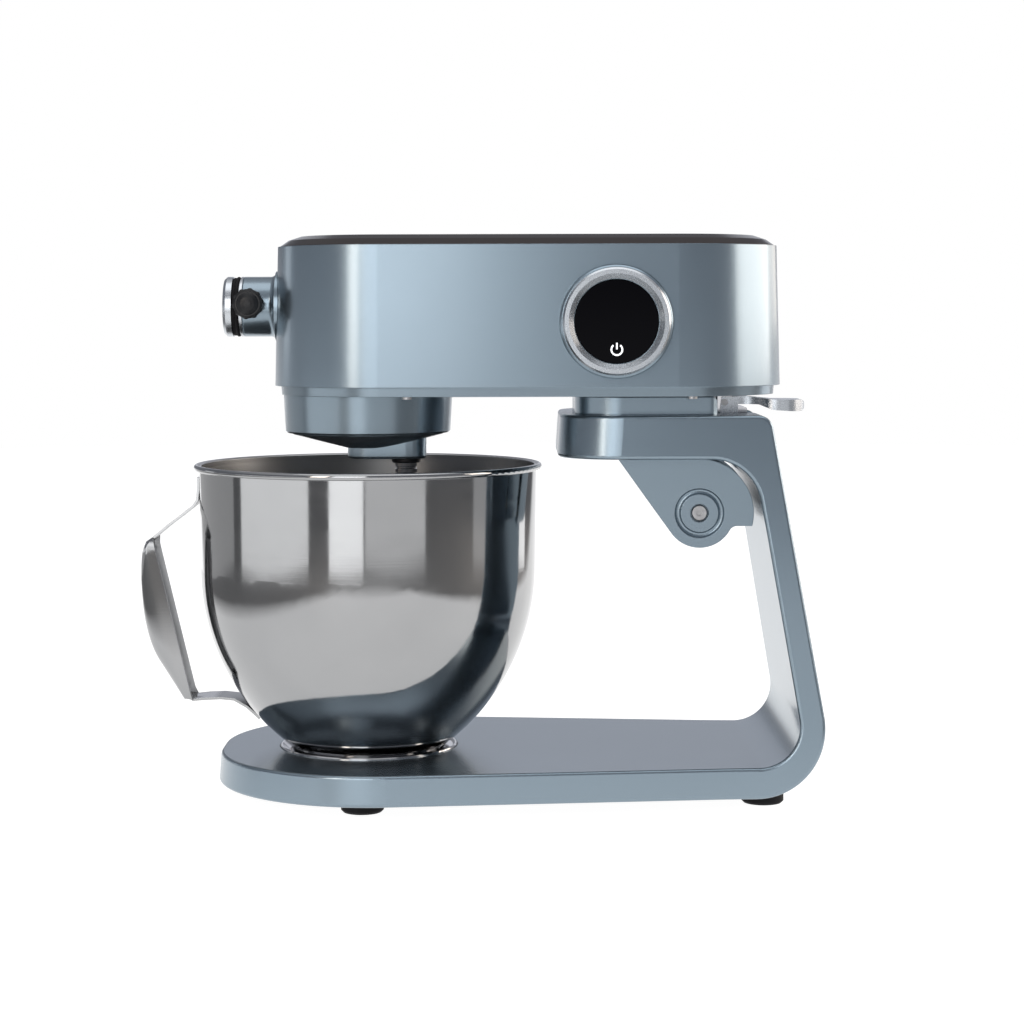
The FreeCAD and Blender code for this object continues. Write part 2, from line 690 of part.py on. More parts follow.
def shaft_bearings():
    up = (0, 0, 1)
    shapes = [
        bearing((BOWL_X, 0, 241.2), up, 8, 12.95, MAIN_SHAFT_RADIUS + RUNNING),
        bearing((BOWL_X, 0, 281.0), up, 6, 11.0, MAIN_SHAFT_RADIUS + RUNNING),
        bearing((JACK_X, 0, 252.0), up, 5, 7.95, SMALL_SHAFT_RADIUS + RUNNING),
        bearing((JACK_X, 0, 282.0), up, 5, 7.95, SMALL_SHAFT_RADIUS + RUNNING),
        bearing((PTO_BEARING_X[0], 0, PTO_Z), (1, 0, 0), 8, 11.0, MAIN_SHAFT_RADIUS + RUNNING),
    ]
    return Part.makeCompound(shapes)


def gearbox_bridge():
    """Plate over the gears on four legs, with an upright that carries the accessory shaft."""
    sheet = plate([(-114, -20, 6), (-102, -36, 8), (4, -44, 6), (4, 44, 6), (-102, 36, 8), (-114, 20, 6)],
                  *BRIDGE_Z)
    spots = [(-102, -28), (-102, 28), (-2, -38), (-2, 38)]
    legs = [rod(5, (x, y, HEAD_BOTTOM + 3.2), (x, y, BRIDGE_Z[1])) for x, y in spots]
    hubs = [rod(14, (BOWL_X, 0, 280.5), (BOWL_X, 0, BRIDGE_Z[1])),
            rod(11, (JACK_X, 0, 282), (JACK_X, 0, BRIDGE_Z[1] + 1))]
    upright = end_plate([(-18, 286), (18, 286), (16, 322, 12), (-16, 322, 12)], *PTO_BEARING_X)
    tools = [
        rod(11.0, (BOWL_X, 0, 270), (BOWL_X, 0, 295)),
        rod(8.0, (JACK_X, 0, 270), (JACK_X, 0, 295)),
        rod(11.0, (-120, 0, PTO_Z), (-100, 0, PTO_Z)),
    ]
    return cut(fuse([sheet, upright] + legs + hubs), tools)


MOTOR_BODY = (274.0, 326.0)
BELT_Z = (260.0, 266.0)
JACK_PULLEY_RADIUS = 30.0
MOTOR_PULLEY_RADIUS = 8.0


def motor_stator():
    low, high = MOTOR_BODY
    can = turned([(0, low), (38, low), (42, low + 4), (42, high - 4), (38, high), (0, high)],
                 (MOTOR_X, 0, 0), (0, 0, 1))
    hollow = rod(24.5, (MOTOR_X, 0, low + 3), (MOTOR_X, 0, high - 3))
    bore = rod(SMALL_SHAFT_RADIUS + RUNNING, (MOTOR_X, 0, low - 1), (MOTOR_X, 0, high + 1))
    vents = []
    for x, y in polar_spots(MOTOR_X, 0, 31, 8, 22.5):
        vents.append(rod(3.5, (x, y, high - 6), (x, y, high + 1)))
    return cut(can, [hollow, bore] + vents)


def motor_bracket():
    """Steel plate on four legs that holds the motor above the belt."""
    sheet = plate(rectangle((56, 144), 42, 12), 271, 274)
    legs = [rod(4, (x, y, HEAD_BOTTOM + 3.2), (x, y, 271.5)) for x in (62, 138) for y in (-36, 36)]
    return cut(fuse([sheet] + legs), [rod(14, (MOTOR_X, 0, 265), (MOTOR_X, 0, 280))])


def belt_loop(grow, low, high):
    """Solid inside a belt line round both pulleys, grown by grow."""
    big, small = JACK_PULLEY_RADIUS + grow, MOTOR_PULLEY_RADIUS + grow
    span = MOTOR_X - JACK_X
    lean = math.asin((big - small) / span)
    corners = []
    for radius, x in ((big, JACK_X), (small, MOTOR_X)):
        corners.append((x + radius * math.sin(lean), radius * math.cos(lean)))
    points = [V(x, y, low) for x, y in corners] + [V(x, -y, low) for x, y in reversed(corners)]
    web = Part.Face(Part.makePolygon(points + points[:1])).extrude(V(0, 0, high - low))
    ends = [rod(big, (JACK_X, 0, low), (JACK_X, 0, high)), rod(small, (MOTOR_X, 0, low), (MOTOR_X, 0, high))]
    return fuse([web] + ends)


def drive_belt():
    return belt_loop(2.2, *BELT_Z).cut(belt_loop(0.3, BELT_Z[0] - 1, BELT_Z[1] + 1))


TONGUE_HALF = 19.0
TONGUE_REAR = 34.4
TONGUE_BACK_X = 151.0


def hinge_arm():
    """Cast arm from the chassis down through the slot to the pin."""
    blade = side_plate([(86, HEAD_BOTTOM), (86, 238, 6), (121, 174, 8), (PIVOT_X, PIVOT_Z),
                        (TONGUE_BACK_X, 200), (TONGUE_BACK_X, HEAD_BOTTOM)], -TONGUE_HALF, TONGUE_HALF)
    lobe = rod(17, (PIVOT_X, -TONGUE_HALF, PIVOT_Z), (PIVOT_X, TONGUE_HALF, PIVOT_Z))
    quarter = rod(TONGUE_REAR, (PIVOT_X, -TONGUE_HALF, PIVOT_Z), (PIVOT_X, TONGUE_HALF, PIVOT_Z))
    quarter = quarter.common(box((PIVOT_X, 200), (-30, 30), (171.5, PIVOT_Z + 31)))
    solid = fuse([blade, lobe, quarter])
    pocket = side_plate([(100, 240), (100, 232, 3), (124, 200, 4), (144, 206, 4), (144, 240)], -30, 30)
    pocket = pocket.cut(box((60, 200), (-4, 4), (150, 260)))
    bore = rod(8.0, (PIVOT_X, -30, PIVOT_Z), (PIVOT_X, 30, PIVOT_Z))
    return cut(solid, [pocket, bore])


def hinge_bushings():
    end = TONGUE_HALF + 2
    bush = tube(8.0, PIN_RADIUS + RUNNING, (PIVOT_X, -TONGUE_HALF, PIVOT_Z), (PIVOT_X, -4, PIVOT_Z))
    flange = tube(11.0, PIN_RADIUS + RUNNING, (PIVOT_X, -end, PIVOT_Z), (PIVOT_X, -TONGUE_HALF, PIVOT_Z))
    bush = bush.fuse(flange)
    return Part.makeCompound([bush, mirrored(bush)])


BLOCK_X = (152.2, 162.2)
BLOCK_HALF = 19.6
YOKE_HALF = 23.2


def is_upright(edge):
    return edge.BoundBox.XLength < 1e-6 and edge.BoundBox.YLength < 1e-6


def lever_block():
    """Bright block under the chassis that carries the lever's pin, with a low foot behind it."""
    body = box(BLOCK_X, (-BLOCK_HALF, BLOCK_HALF), (SHELF_TOP + 0.6, HEAD_BOTTOM))
    body = rounded_edges(body, 1.0, is_upright)
    rear, foot_rear = BLOCK_X[1], BLOCK_X[1] + 9.4
    foot = side_plate([(rear - 2, 239.4), (rear, 236.2), (foot_rear, 236.2, 1), (foot_rear, 241.6, 0.8),
                       (rear, 242.3), (rear - 2, 242.3)], -BLOCK_HALF, BLOCK_HALF)
    pocket = box((BLOCK_X[0] - 1, rear - 1.2), (-8, 8), (SHELF_TOP, HEAD_BOTTOM - 1.5))
    bore = rod(2.0, (LEVER_PIN[0], -30, LEVER_PIN[1]), (LEVER_PIN[0], 30, LEVER_PIN[1]))
    return cut(body.fuse(foot), [pocket, bore])


def lever_pin():
    x, z = LEVER_PIN
    return rod(2.0, (x, -YOKE_HALF, z), (x, YOKE_HALF, z))


def lever_spring():
    """Torsion spring wound round the pin inside the block."""
    x, z = LEVER_PIN
    turns, wire_radius, coil_radius, pitch = 5, 0.45, 2.9, 1.6
    helix = Part.makeHelix(pitch, turns * pitch, coil_radius)
    start = helix.Edges[0].valueAt(helix.Edges[0].FirstParameter)
    tangent = helix.Edges[0].tangentAt(helix.Edges[0].FirstParameter)
    section = Part.Wire(Part.makeCircle(wire_radius, start, tangent))
    coil = Part.Wire(helix.Edges).makePipeShell([section], True, True)
    coil.rotate(V(0, 0, 0), V(1, 0, 0), -90)
    coil.translate(V(x, -turns * pitch / 2, z))
    return coil


def release_lever():
    """Silver lever: a plate on each side of the block, a bridge, a thin neck and a scooped paddle."""
    pin_x, pin_z = LEVER_PIN
    side = side_plate([(154.2, 236.6, 0.8), (165.6, 236.6, 0.8), (165.6, 248.4, 0.8), (155.7, 248.4, 0.8)],
                      -YOKE_HALF, -BLOCK_HALF - GAP - 0.1)
    bridge = box((BLOCK_X[1] + 0.8, 165.6), (-YOKE_HALF + 1, YOKE_HALF - 1), (243.3, 248.4))
    blade = side_plate([(163, 243.3), (180, 243.2, 8), (188, 239.8, 16), (200, 239.0, 20),
                        (209.2, 239.0, 3.2), (209.2, 246.2, 2.8), (190, 246.2, 40), (172, 248.3, 30),
                        (163, 248.4)], -20, 20)
    outline = [(160, -9), (174, -8, 20), (188, -17, 14), (209.4, -17, 14), (209.4, 17, 14), (188, 17, 14),
               (174, 8, 20), (160, 9)]
    paddle = blade.common(plate(outline, 230, 260))
    solid = fuse([side, mirrored(side), bridge, paddle])
    return cut(solid, [rod(2.0 + RUNNING, (pin_x, -30, pin_z), (pin_x, 30, pin_z))])


def control_board():
    """Circuit board above the belt with its capacitors, relay and heat sink."""
    board_z = 300.0
    board = box((4, 52), (-50, 50), (board_z, board_z + 1.6))
    top = board_z + 1.6
    parts = [rod(8, (16, y, top), (16, y, top + 25)) for y in (-30, -10)]
    parts.append(box((30, 48), (-44, -26), (top, top + 15)))
    parts.append(box((30, 34), (-10, 40), (top, top + 24)))
    parts += [box((34, 46), (y, y + 2), (top, top + 24)) for y in range(-8, 40, 8)]
    parts.append(box((8, 24), (12, 38), (top, top + 12)))
    posts = [rod(3, (x, y, HEAD_BOTTOM + 3.2), (x, y, board_z)) for x in (12, 46) for y in (-44, 44)]
    return fuse([board] + parts + posts)


def dial_part(profile):
    """Turned piece on the dial's axis; distances run outwards from the head's side."""
    return turned(profile, (DIAL_X, DIAL_PLANE, DIAL_Z), (0, -1, 0))


def dial_bezel():
    shape = dial_part([(25.5, -14), (27.0, -14), (27.0, -3.6), (34.7, -3.6), (34.7, 3.2), (34.2, 4.7),
                       (33.0, 5.7), (27.0, 5.7), (27.0, 7.4), (25.5, 7.4)])
    outside = box((DIAL_X - 40, DIAL_X + 40), (-120, DIAL_PLANE + 3.4), (DIAL_Z - 40, DIAL_Z + 40))
    outside = outside.cut(head_prism(HOUSING_BOTTOM, HOUSING_TOP, 0))
    sleeve = rod(28.9, (DIAL_X, -120, DIAL_Z), (DIAL_X, DIAL_PLANE + 20, DIAL_Z))
    return shape.common(outside.fuse(sleeve))


def dial_ring():
    return dial_part([(27.05, 6.0), (32.6, 6.0), (32.6, 10.7), (31.5, 12.0), (28.9, 12.0), (25.9, 8.6),
                      (25.9, 7.8), (27.05, 7.8)])


def dial_glass():
    return dial_part([(0, 5.4), (25.4, 5.4), (25.4, 7.6), (25.0, 8.0), (0, 8.0)])


def display_board():
    return dial_part([(0, 0), (25.4, 0), (25.4, 1.6), (0, 1.6)])


def hub_part(profile):
    """Turned piece on the accessory hub's axis; distances run along X from the hub's front face."""
    return turned(profile, (HUB_FRONT, 0, PTO_Z), (1, 0, 0))


HUB_BORE = 14.6


HUB_FILLET = 3.4
TRIM_START = 10.1
SEAL_BEADS = [(6.65, 17.15), (8.75, 17.75)]
SEAL_BEAD_RADIUS = 1.25


def hub_barrel():
    """Tube with a fillet onto the head, a boss for the knob and a spigot inside the head."""
    root = HUB_RADIUS + HUB_FILLET
    fillet_start = HEAD_FRONT - HUB_FRONT - HUB_FILLET
    pipe = hub_part([(HUB_BORE, 12.6), (HUB_RADIUS, 12.6), (HUB_RADIUS, 45), (HUB_BORE, 45)])
    skirt = hub_part([(HUB_BORE, fillet_start), (root, fillet_start), (root, 45), (HUB_BORE, 45)])
    groove = Part.makeTorus(root, HUB_FILLET, V(HUB_FRONT + fillet_start, 0, PTO_Z), V(1, 0, 0))
    outside = fuse([pipe, skirt.cut(groove)]).cut(head_prism(HOUSING_BOTTOM, HOUSING_TOP, 0))
    spigot = tube(16.0, HUB_BORE, (HUB_FRONT + 30, 0, PTO_Z), (HUB_FRONT + 46, 0, PTO_Z))
    boss = rod(4.4, (KNOB_X, -21.5, KNOB_Z), (KNOB_X, -16, KNOB_Z))
    boss = boss.cut(rod(HUB_RADIUS - 0.5, (-160, 0, PTO_Z), (-120, 0, PTO_Z)))
    shape = fuse([outside, spigot, boss])
    return shape.cut(rod(3.0 + RUNNING, (KNOB_X, -30, KNOB_Z), (KNOB_X, 0, KNOB_Z)))


def hub_trim_ring():
    return hub_part([(HUB_BORE, TRIM_START), (HUB_RADIUS - 1.2, TRIM_START),
                     (HUB_RADIUS - 1.2, TRIM_START + 0.5), (HUB_RADIUS, TRIM_START + 0.5),
                     (HUB_RADIUS, 12.0), (HUB_RADIUS - 0.8, 12.6), (HUB_BORE, 12.6)])


def hub_cap():
    """Plug with a flat face and a shoulder that carries the sealing ring."""
    shoulder = 16.4
    return hub_part([(0, 0), (HUB_RADIUS - 1.6, 0), (HUB_RADIUS, 1.8), (HUB_RADIUS, 5.4), (shoulder, 5.4),
                     (shoulder, TRIM_START - 0.3), (14.3, TRIM_START - 0.3), (14.3, 30), (12.5, 31.5),
                     (11.0, 31.5), (11.0, 8), (0, 8)])


def hub_o_ring():
    """Rubber seal with two beads."""
    beads = [Part.makeTorus(radius, SEAL_BEAD_RADIUS, V(HUB_FRONT + place, 0, PTO_Z), V(1, 0, 0))
             for place, radius in SEAL_BEADS]
    return fuse(beads).cut(hub_cap())


def pto_shaft():
    shaft = rod(MAIN_SHAFT_RADIUS, (-112.4, 0, PTO_Z), (BOWL_X - BEVEL_RADIUS - 1, 0, PTO_Z))
    socket = rod(9.5, (-124.5, 0, PTO_Z), (-112.4, 0, PTO_Z))
    square = box((-125, -114), (-4.2, 4.2), (PTO_Z - 4.2, PTO_Z + 4.2))
    return fuse([shaft, socket]).cut(square)


def pto_bevel_gear():
    gear = bevel_gear()
    gear.rotate(V(0, 0, 0), V(0, 0, 1), 180 / BEVEL_TEETH)
    gear.rotate(V(0, 0, 0), V(0, 1, 0), 90)
    gear.translate(V(BOWL_X, 0, PTO_Z))
    return gear.cut(rod(MAIN_SHAFT_RADIUS, (BOWL_X - 30, 0, PTO_Z), (BOWL_X - BEVEL_RADIUS - 1, 0, PTO_Z)))


def hub_knob():
    """Black knob with ten finger lobes and a domed centre."""
    back = -22.0
    body = turned([(0, 0), (6.2, 0), (9.2, 1.8), (9.2, 7.0), (7.8, 8.0), (7.0, 8.0), (6.4, 8.6), (4.4, 9.8),
                   (2.0, 10.4), (0, 10.5)], (KNOB_X, back, KNOB_Z), (0, -1, 0))
    lobe = [(0, 1.6), (1.2, 1.6), (1.9, 2.6), (1.9, 6.4), (1.1, 7.4), (0, 7.4)]
    lobes = [turned(lobe, (x, back, z), (0, -1, 0)) for x, z in polar_spots(KNOB_X, KNOB_Z, 7.95, 10, 9)]
    knob = fuse([body] + lobes)
    return knob.cut(rod(3.0, (KNOB_X, -28, KNOB_Z), (KNOB_X, 0, KNOB_Z)))


def hub_screw():
    return rod(3.0, (KNOB_X, -28, KNOB_Z), (KNOB_X, -14.8, KNOB_Z))


def head_screws():
    return Part.makeCompound([screw(x, y, HEAD_BOTTOM, 3.0, 1.6, 1.5, 20.0) for x, y in HOUSING_POSTS])


# ---- rotating drive -----------------------------------------------------------------------------

MAIN_GEAR_Z = (271.0, 279.0)
CARRIER_BOTTOM = 209.2
CARRIER_PLATE = (226.6, 228.8)
SKIRT_TOP = (48.4, 225.6)
SKIRT_BOTTOM = (14.0, 216.2)


def main_shaft():
    stub = rod(MAIN_SHAFT_RADIUS, (BOWL_X, 0, CARRIER_BOTTOM + 2), (BOWL_X, 0, PTO_Z - BEVEL_RADIUS - 2.5))
    tip = rod(4.5, (BOWL_X, 0, PTO_Z - BEVEL_RADIUS - 3), (BOWL_X, 0, PTO_Z - BEVEL_RADIUS))
    return fuse([stub, tip])


def main_gear():
    gear = spur_gear(SPUR_MODULE, MAIN_TEETH, BOWL_X, MAIN_GEAR_Z, MAIN_SHAFT_RADIUS)
    windows = [rod(8.5, (x, y, 260), (x, y, 290)) for x, y in polar_spots(BOWL_X, 0, 22, 5, 36)]
    return cut(gear, windows)


def boss_outline(half):
    """Stadium from the main axis to the planet axis."""
    ends = [rod(half, (x, 0, 0), (x, 0, 1)) for x in (BOWL_X, BOWL_X + PLANET_OFFSET)]
    middle = box((BOWL_X, BOWL_X + PLANET_OFFSET), (-half, half), (0, 1))
    return fuse(ends + [middle])


def boss_prism(half, low, high):
    face = boss_outline(half)
    bottom = [f for f in face.Faces if abs(f.CenterOfMass.z) < 1e-6][0]
    return bottom.extrude(V(0, 0, high - low)).translated(V(0, 0, low))


PLANET_BUSH_RADIUS = 9.0


def planet_carrier():
    boss = boss_prism(13.0, CARRIER_BOTTOM, CARRIER_PLATE[1])
    boss = rounded_edges(boss, 1.6, lambda e: abs(e.BoundBox.ZMax - CARRIER_BOTTOM) < 1e-4)
    disc = rod(42.0, (BOWL_X, 0, CARRIER_PLATE[0]), (BOWL_X, 0, CARRIER_PLATE[1]))
    hub = rod(9.2, (BOWL_X, 0, CARRIER_PLATE[1] - 1), (BOWL_X, 0, 240.8))
    planet_x = BOWL_X + PLANET_OFFSET
    tools = [
        rod(MAIN_SHAFT_RADIUS, (BOWL_X, 0, CARRIER_BOTTOM + 2), (BOWL_X, 0, 250)),
        rod(PLANET_BUSH_RADIUS, (planet_x, 0, CARRIER_BOTTOM - 1), (planet_x, 0, 235)),
    ]
    return cut(fuse([boss, disc, hub]), tools)


def drive_skirt():
    top_r, top_z = SKIRT_TOP
    low_r, low_z = SKIRT_BOTTOM
    wall = 1.6
    shell = turned([(low_r, low_z), (top_r - 0.8, top_z - 0.6), (top_r, top_z), (top_r, top_z + 2.4),
                    (top_r - wall, top_z + 2.4), (top_r - wall, top_z + 0.9), (low_r, low_z + wall + 0.2),
                    (10, low_z + wall + 0.2), (10, low_z)], (BOWL_X, 0, 0), (0, 0, 1))
    return shell.cut(boss_prism(13.0, 200, 240))


def planet_bushing():
    x = BOWL_X + PLANET_OFFSET
    low, high = CARRIER_BOTTOM + 0.4, CARRIER_PLATE[1]
    return tube(PLANET_BUSH_RADIUS, OUTPUT_RADIUS + RUNNING, (x, 0, low), (x, 0, high))


def drive_bevel_gear():
    gear = bevel_gear()
    gear.rotate(V(0, 0, 0), V(0, 0, 1), 180)
    gear.translate(V(BOWL_X, 0, PTO_Z))
    stub = rod(4.5, (BOWL_X, 0, PTO_Z - 30), (BOWL_X, 0, PTO_Z - BEVEL_RADIUS))
    shaft = rod(MAIN_SHAFT_RADIUS, (BOWL_X, 0, PTO_Z - 30), (BOWL_X, 0, PTO_Z - BEVEL_RADIUS - 2.5))
    return cut(gear, [stub, shaft])


def planet_pinion():
    return spur_gear(RING_MODULE, PLANET_TEETH, BOWL_X + PLANET_OFFSET, (231.0, 239.6), OUTPUT_RADIUS - 1)


def output_shaft():
    """Chrome beater shaft with three ring grooves, tapering at its end."""
    r = OUTPUT_RADIUS
    grooves = []
    for z in (203.5, 199.5, 195.5):
        grooves += [(r, z + 0.9), (r - 0.8, z + 0.5), (r - 0.8, z - 0.5), (r, z - 0.9)]
    profile = [(0, 239.8), (r - 1, 239.8), (r - 1, 230.0), (r, 230.0)] + grooves
    profile += [(r, 176.5), (r - 1.5, 174.5), (0, 174.5)]
    x = BOWL_X + PLANET_OFFSET
    shaft = turned(profile, (x, 0, 0), (0, 0, 1))
    return shaft.cut(rod(1.5, (x, -10, 182), (x, 10, 182)))


def output_collar():
    x = BOWL_X + PLANET_OFFSET
    profile = [(OUTPUT_RADIUS, 206.4), (8.2, 206.4), (9.2, 207.4), (9.2, 208.9), (OUTPUT_RADIUS, 208.9)]
    return turned(profile, (x, 0, 0), (0, 0, 1))


def drive_pin():
    x = BOWL_X + PLANET_OFFSET
    return rod(1.5, (x, -11.5, 182), (x, 11.5, 182))


# ---- jackshaft and motor ------------------------------------------------------------------------

def jackshaft():
    return rod(SMALL_SHAFT_RADIUS, (JACK_X, 0, 252.2), (JACK_X, 0, 286.8))


def jack_pinion():
    return spur_gear(SPUR_MODULE, JACK_TEETH, JACK_X, (270.0, 280.0), SMALL_SHAFT_RADIUS)


def pulley(radius, x, low, high, bore, flange):
    """Belt pulley with a flange at each end."""
    return turned([(bore, low), (radius + flange, low), (radius + flange, low + 1), (radius, low + 1.2),
                   (radius, high - 1.2), (radius + flange, high - 1), (radius + flange, high), (bore, high)],
                  (x, 0, 0), (0, 0, 1))


def jack_pulley():
    wheel = pulley(JACK_PULLEY_RADIUS, JACK_X, 258.4, 267.6, SMALL_SHAFT_RADIUS, 2.6)
    holes = [rod(6, (x, y, 250), (x, y, 270)) for x, y in polar_spots(JACK_X, 0, 17, 5, 0)]
    return cut(wheel, holes)


def motor_pulley():
    return pulley(MOTOR_PULLEY_RADIUS, MOTOR_X, 258.4, 267.6, SMALL_SHAFT_RADIUS, 2.6)


def motor_rotor():
    shaft = rod(SMALL_SHAFT_RADIUS, (MOTOR_X, 0, 257), (MOTOR_X, 0, 328.5))
    core = rod(23.5, (MOTOR_X, 0, 282), (MOTOR_X, 0, 314))
    slots = [rod(1.6, (x, y, 281), (x, y, 315)) for x, y in polar_spots(MOTOR_X, 0, 22.8, 12, 0)]
    return fuse([shaft, core]).cut(slots)


# ---- bowl ---------------------------------------------------------------------------------------

BOWL_ARC_TOP = 141.0
BOWL_FLOOR_EDGE = (51.5, 30.3)


def bowl_side(inset):
    """Edges of the bowl's side in X, Z: a swept lower arc and a nearly straight wall, moved in by inset."""
    wall = BOWL_RADIUS - 0.4 - inset
    edge_r, edge_z = BOWL_FLOOR_EDGE
    low = V(edge_r - inset * 0.55, 0, edge_z + inset * 0.85)
    middle = V(88.1 - inset * 0.83, 0, 73.0 + inset * 0.55)
    top = V(wall, 0, BOWL_ARC_TOP)
    return low, middle, top, V(wall + 0.9, 0, BOWL_RIM_TOP - 4)


def bowl_body():
    low, middle, top, rim = bowl_side(0)
    low_in, middle_in, top_in, rim_in = bowl_side(BOWL_WALL)
    floor_z = 30.6
    floor_out = V(0, 0, floor_z)
    floor_in = V(0, 0, floor_z + BOWL_WALL)
    edges = [
        Part.LineSegment(floor_out, V(46, 0, floor_z - 1.6)),
        Part.LineSegment(V(46, 0, floor_z - 1.6), low),
        Part.Arc(low, middle, top),
        Part.LineSegment(top, rim),
        Part.LineSegment(rim, rim_in),
        Part.LineSegment(rim_in, top_in),
        Part.Arc(top_in, middle_in, low_in),
        Part.LineSegment(low_in, V(45.6, 0, floor_z - 0.4)),
        Part.LineSegment(V(45.6, 0, floor_z - 0.4), floor_in),
        Part.LineSegment(floor_in, floor_out),
    ]
    wall = Part.Face(Part.Wire([edge.toShape() for edge in edges])).revolve(V(0, 0, 0), V(0, 0, 1), 360)
    bead_radius = 2.05
    bead = Part.makeTorus(rim.x + bead_radius - 0.6, bead_radius, V(0, 0, BOWL_RIM_TOP - bead_radius))
    neck = tube(rim.x, rim_in.x, (0, 0, rim.z - 0.5), (0, 0, BOWL_RIM_TOP - 1.0))
    bowl = fuse([wall, neck, bead])
    bowl.translate(V(BOWL_X, 0, 0))
    return bowl


def bowl_foot_ring():
    ring = turned([(45.4, 23.2), (47.8, 23.2), (47.8, 27.5), (48.3, 29.2), (46.1, 29.2), (45.4, 28.6)],
                  (BOWL_X, 0, 0), (0, 0, 1))
    ring = fuse([ring] + lug_ring(47.0, 49.9, (23.2, 25.2), BAYONET_HALF_ANGLE - 2))
    return ring.cut(bowl_body())


def bowl_handle():
    """Sheet-metal handle: two straps and a grip with its sides rolled towards the bowl."""
    thick = 1.8
    upper = side_plate([(-172.0, 198), (-176.4, 198, 1.5), (-176.4, 182, 7), (-203.5, 159.6, 5),
                        (-208, 156.5), (-206.5, 154.5), (-202.6, 157.2, 4), (-174.6, 180.4, 6),
                        (-174.6, 198)], -STRAP_HALF, STRAP_HALF)
    lower = side_plate([(-188.2, 61.2), (-184.5, 57.2, 2), (-150, 57.4, 14), (-128, 35.6), (-126.6, 37.2),
                        (-149.2, 59.2, 14), (-184.6, 59.0, 1)], -STRAP_HALF, STRAP_HALF)
    outer = [(-201.6, 158.4, 3), (-211.4, 155.0, 9), (-212.6, 115, 90), (-200.5, 76, 60), (-186.4, 56.8, 2),
             (-179.2, 60.2, 1)]
    grip = side_plate(outer, -STRAP_HALF, STRAP_HALF)
    inner = side_plate(outer, -STRAP_HALF + thick, STRAP_HALF - thick, thick)
    mouth = inner.copy()
    mouth.translate(V(2.5, 0, 0.4))
    grip = grip.cut(inner.fuse(mouth))
    handle = fuse([upper, lower, grip])
    return handle.cut(bowl_envelope())


def bowl_envelope():
    low, middle, top, rim = bowl_side(0)
    edges = [
        Part.LineSegment(V(0, 0, low.z), low),
        Part.Arc(low, middle, top),
        Part.LineSegment(top, rim),
        Part.LineSegment(rim, V(0, 0, rim.z)),
        Part.LineSegment(V(0, 0, rim.z), V(0, 0, low.z)),
    ]
    solid = Part.Face(Part.Wire([edge.toShape() for edge in edges])).revolve(V(0, 0, 0), V(0, 0, 1), 360)
    solid.translate(V(BOWL_X, 0, 0))
    return solid


# ---- every node ---------------------------------------------------------------------------------

NODES = {
    "c_frame": c_frame,
    "base_cover": base_cover,
    "feet": feet,
    "base_screws": base_screws,
    "bowl_lock_plate": bowl_lock_plate,
    "lock_plate_screws": lock_plate_screws,
    "neck_collar": neck_collar,
    "hinge_cheek_near": hinge_cheek,
    "hinge_cheek_far": hinge_cheek_far,
    "hinge_pin": hinge_pin,
    "hinge_bolts": hinge_bolts,
    "latch_strike": latch_strike,
    "cord_grommet": cord_grommet,
    "head_housing": head_housing,
    "head_top_cover": head_top_cover,
    "head_chassis": head_chassis,
    "ring_gear": ring_gear,
    "shaft_bearings": shaft_bearings,
    "gearbox_bridge": gearbox_bridge,
    "motor_stator": motor_stator,
    "motor_bracket": motor_bracket,
    "drive_belt": drive_belt,
    "hinge_arm": hinge_arm,
    "hinge_bushings": hinge_bushings,
    "lever_block": lever_block,
    "lever_pin": lever_pin,
    "lever_spring": lever_spring,
    "control_board": control_board,
    "dial_bezel": dial_bezel,
    "dial_glass": dial_glass,
    "display_board": display_board,
    "hub_barrel": hub_barrel,
    "hub_trim_ring": hub_trim_ring,
    "head_screws": head_screws,
    "main_shaft": main_shaft,
    "main_gear": main_gear,
    "planet_carrier": planet_carrier,
    "drive_skirt": drive_skirt,
    "planet_bushing": planet_bushing,
    "drive_bevel_gear": drive_bevel_gear,
    "planet_pinion": planet_pinion,
    "output_shaft": output_shaft,
    "output_collar": output_collar,
    "drive_pin": drive_pin,
    "jackshaft": jackshaft,
    "jack_pulley": jack_pulley,
    "jack_pinion": jack_pinion,
    "motor_rotor": motor_rotor,
    "motor_pulley": motor_pulley,
    "pto_shaft": pto_shaft,
    "pto_bevel_gear": pto_bevel_gear,
    "dial_ring": dial_ring,
    "hub_knob": hub_knob,
    "hub_screw": hub_screw,
    "hub_cap": hub_cap,
    "hub_o_ring": hub_o_ring,
    "release_lever": release_lever,
    "bowl_body": bowl_body,
    "bowl_foot_ring": bowl_foot_ring,
    "bowl_handle": bowl_handle,
}


def main():
    os.makedirs("parts", exist_ok=True)
    for name, make in NODES.items():
        make().exportStep(f"parts/{name}.step")


main()
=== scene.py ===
import json
import math

import bmesh
import bpy
from mathutils import Euler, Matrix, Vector


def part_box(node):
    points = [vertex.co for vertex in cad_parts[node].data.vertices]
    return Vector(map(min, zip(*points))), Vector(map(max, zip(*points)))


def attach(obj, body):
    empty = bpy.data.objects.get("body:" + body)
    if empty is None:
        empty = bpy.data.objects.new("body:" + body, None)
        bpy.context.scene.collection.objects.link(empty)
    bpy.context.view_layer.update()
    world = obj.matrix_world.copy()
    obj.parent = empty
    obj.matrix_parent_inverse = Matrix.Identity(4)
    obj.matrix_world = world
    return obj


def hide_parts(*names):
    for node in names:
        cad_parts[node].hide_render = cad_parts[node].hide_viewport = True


# Looks of a tilt-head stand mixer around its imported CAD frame. Metres, +Z up, the dial faces -Y.

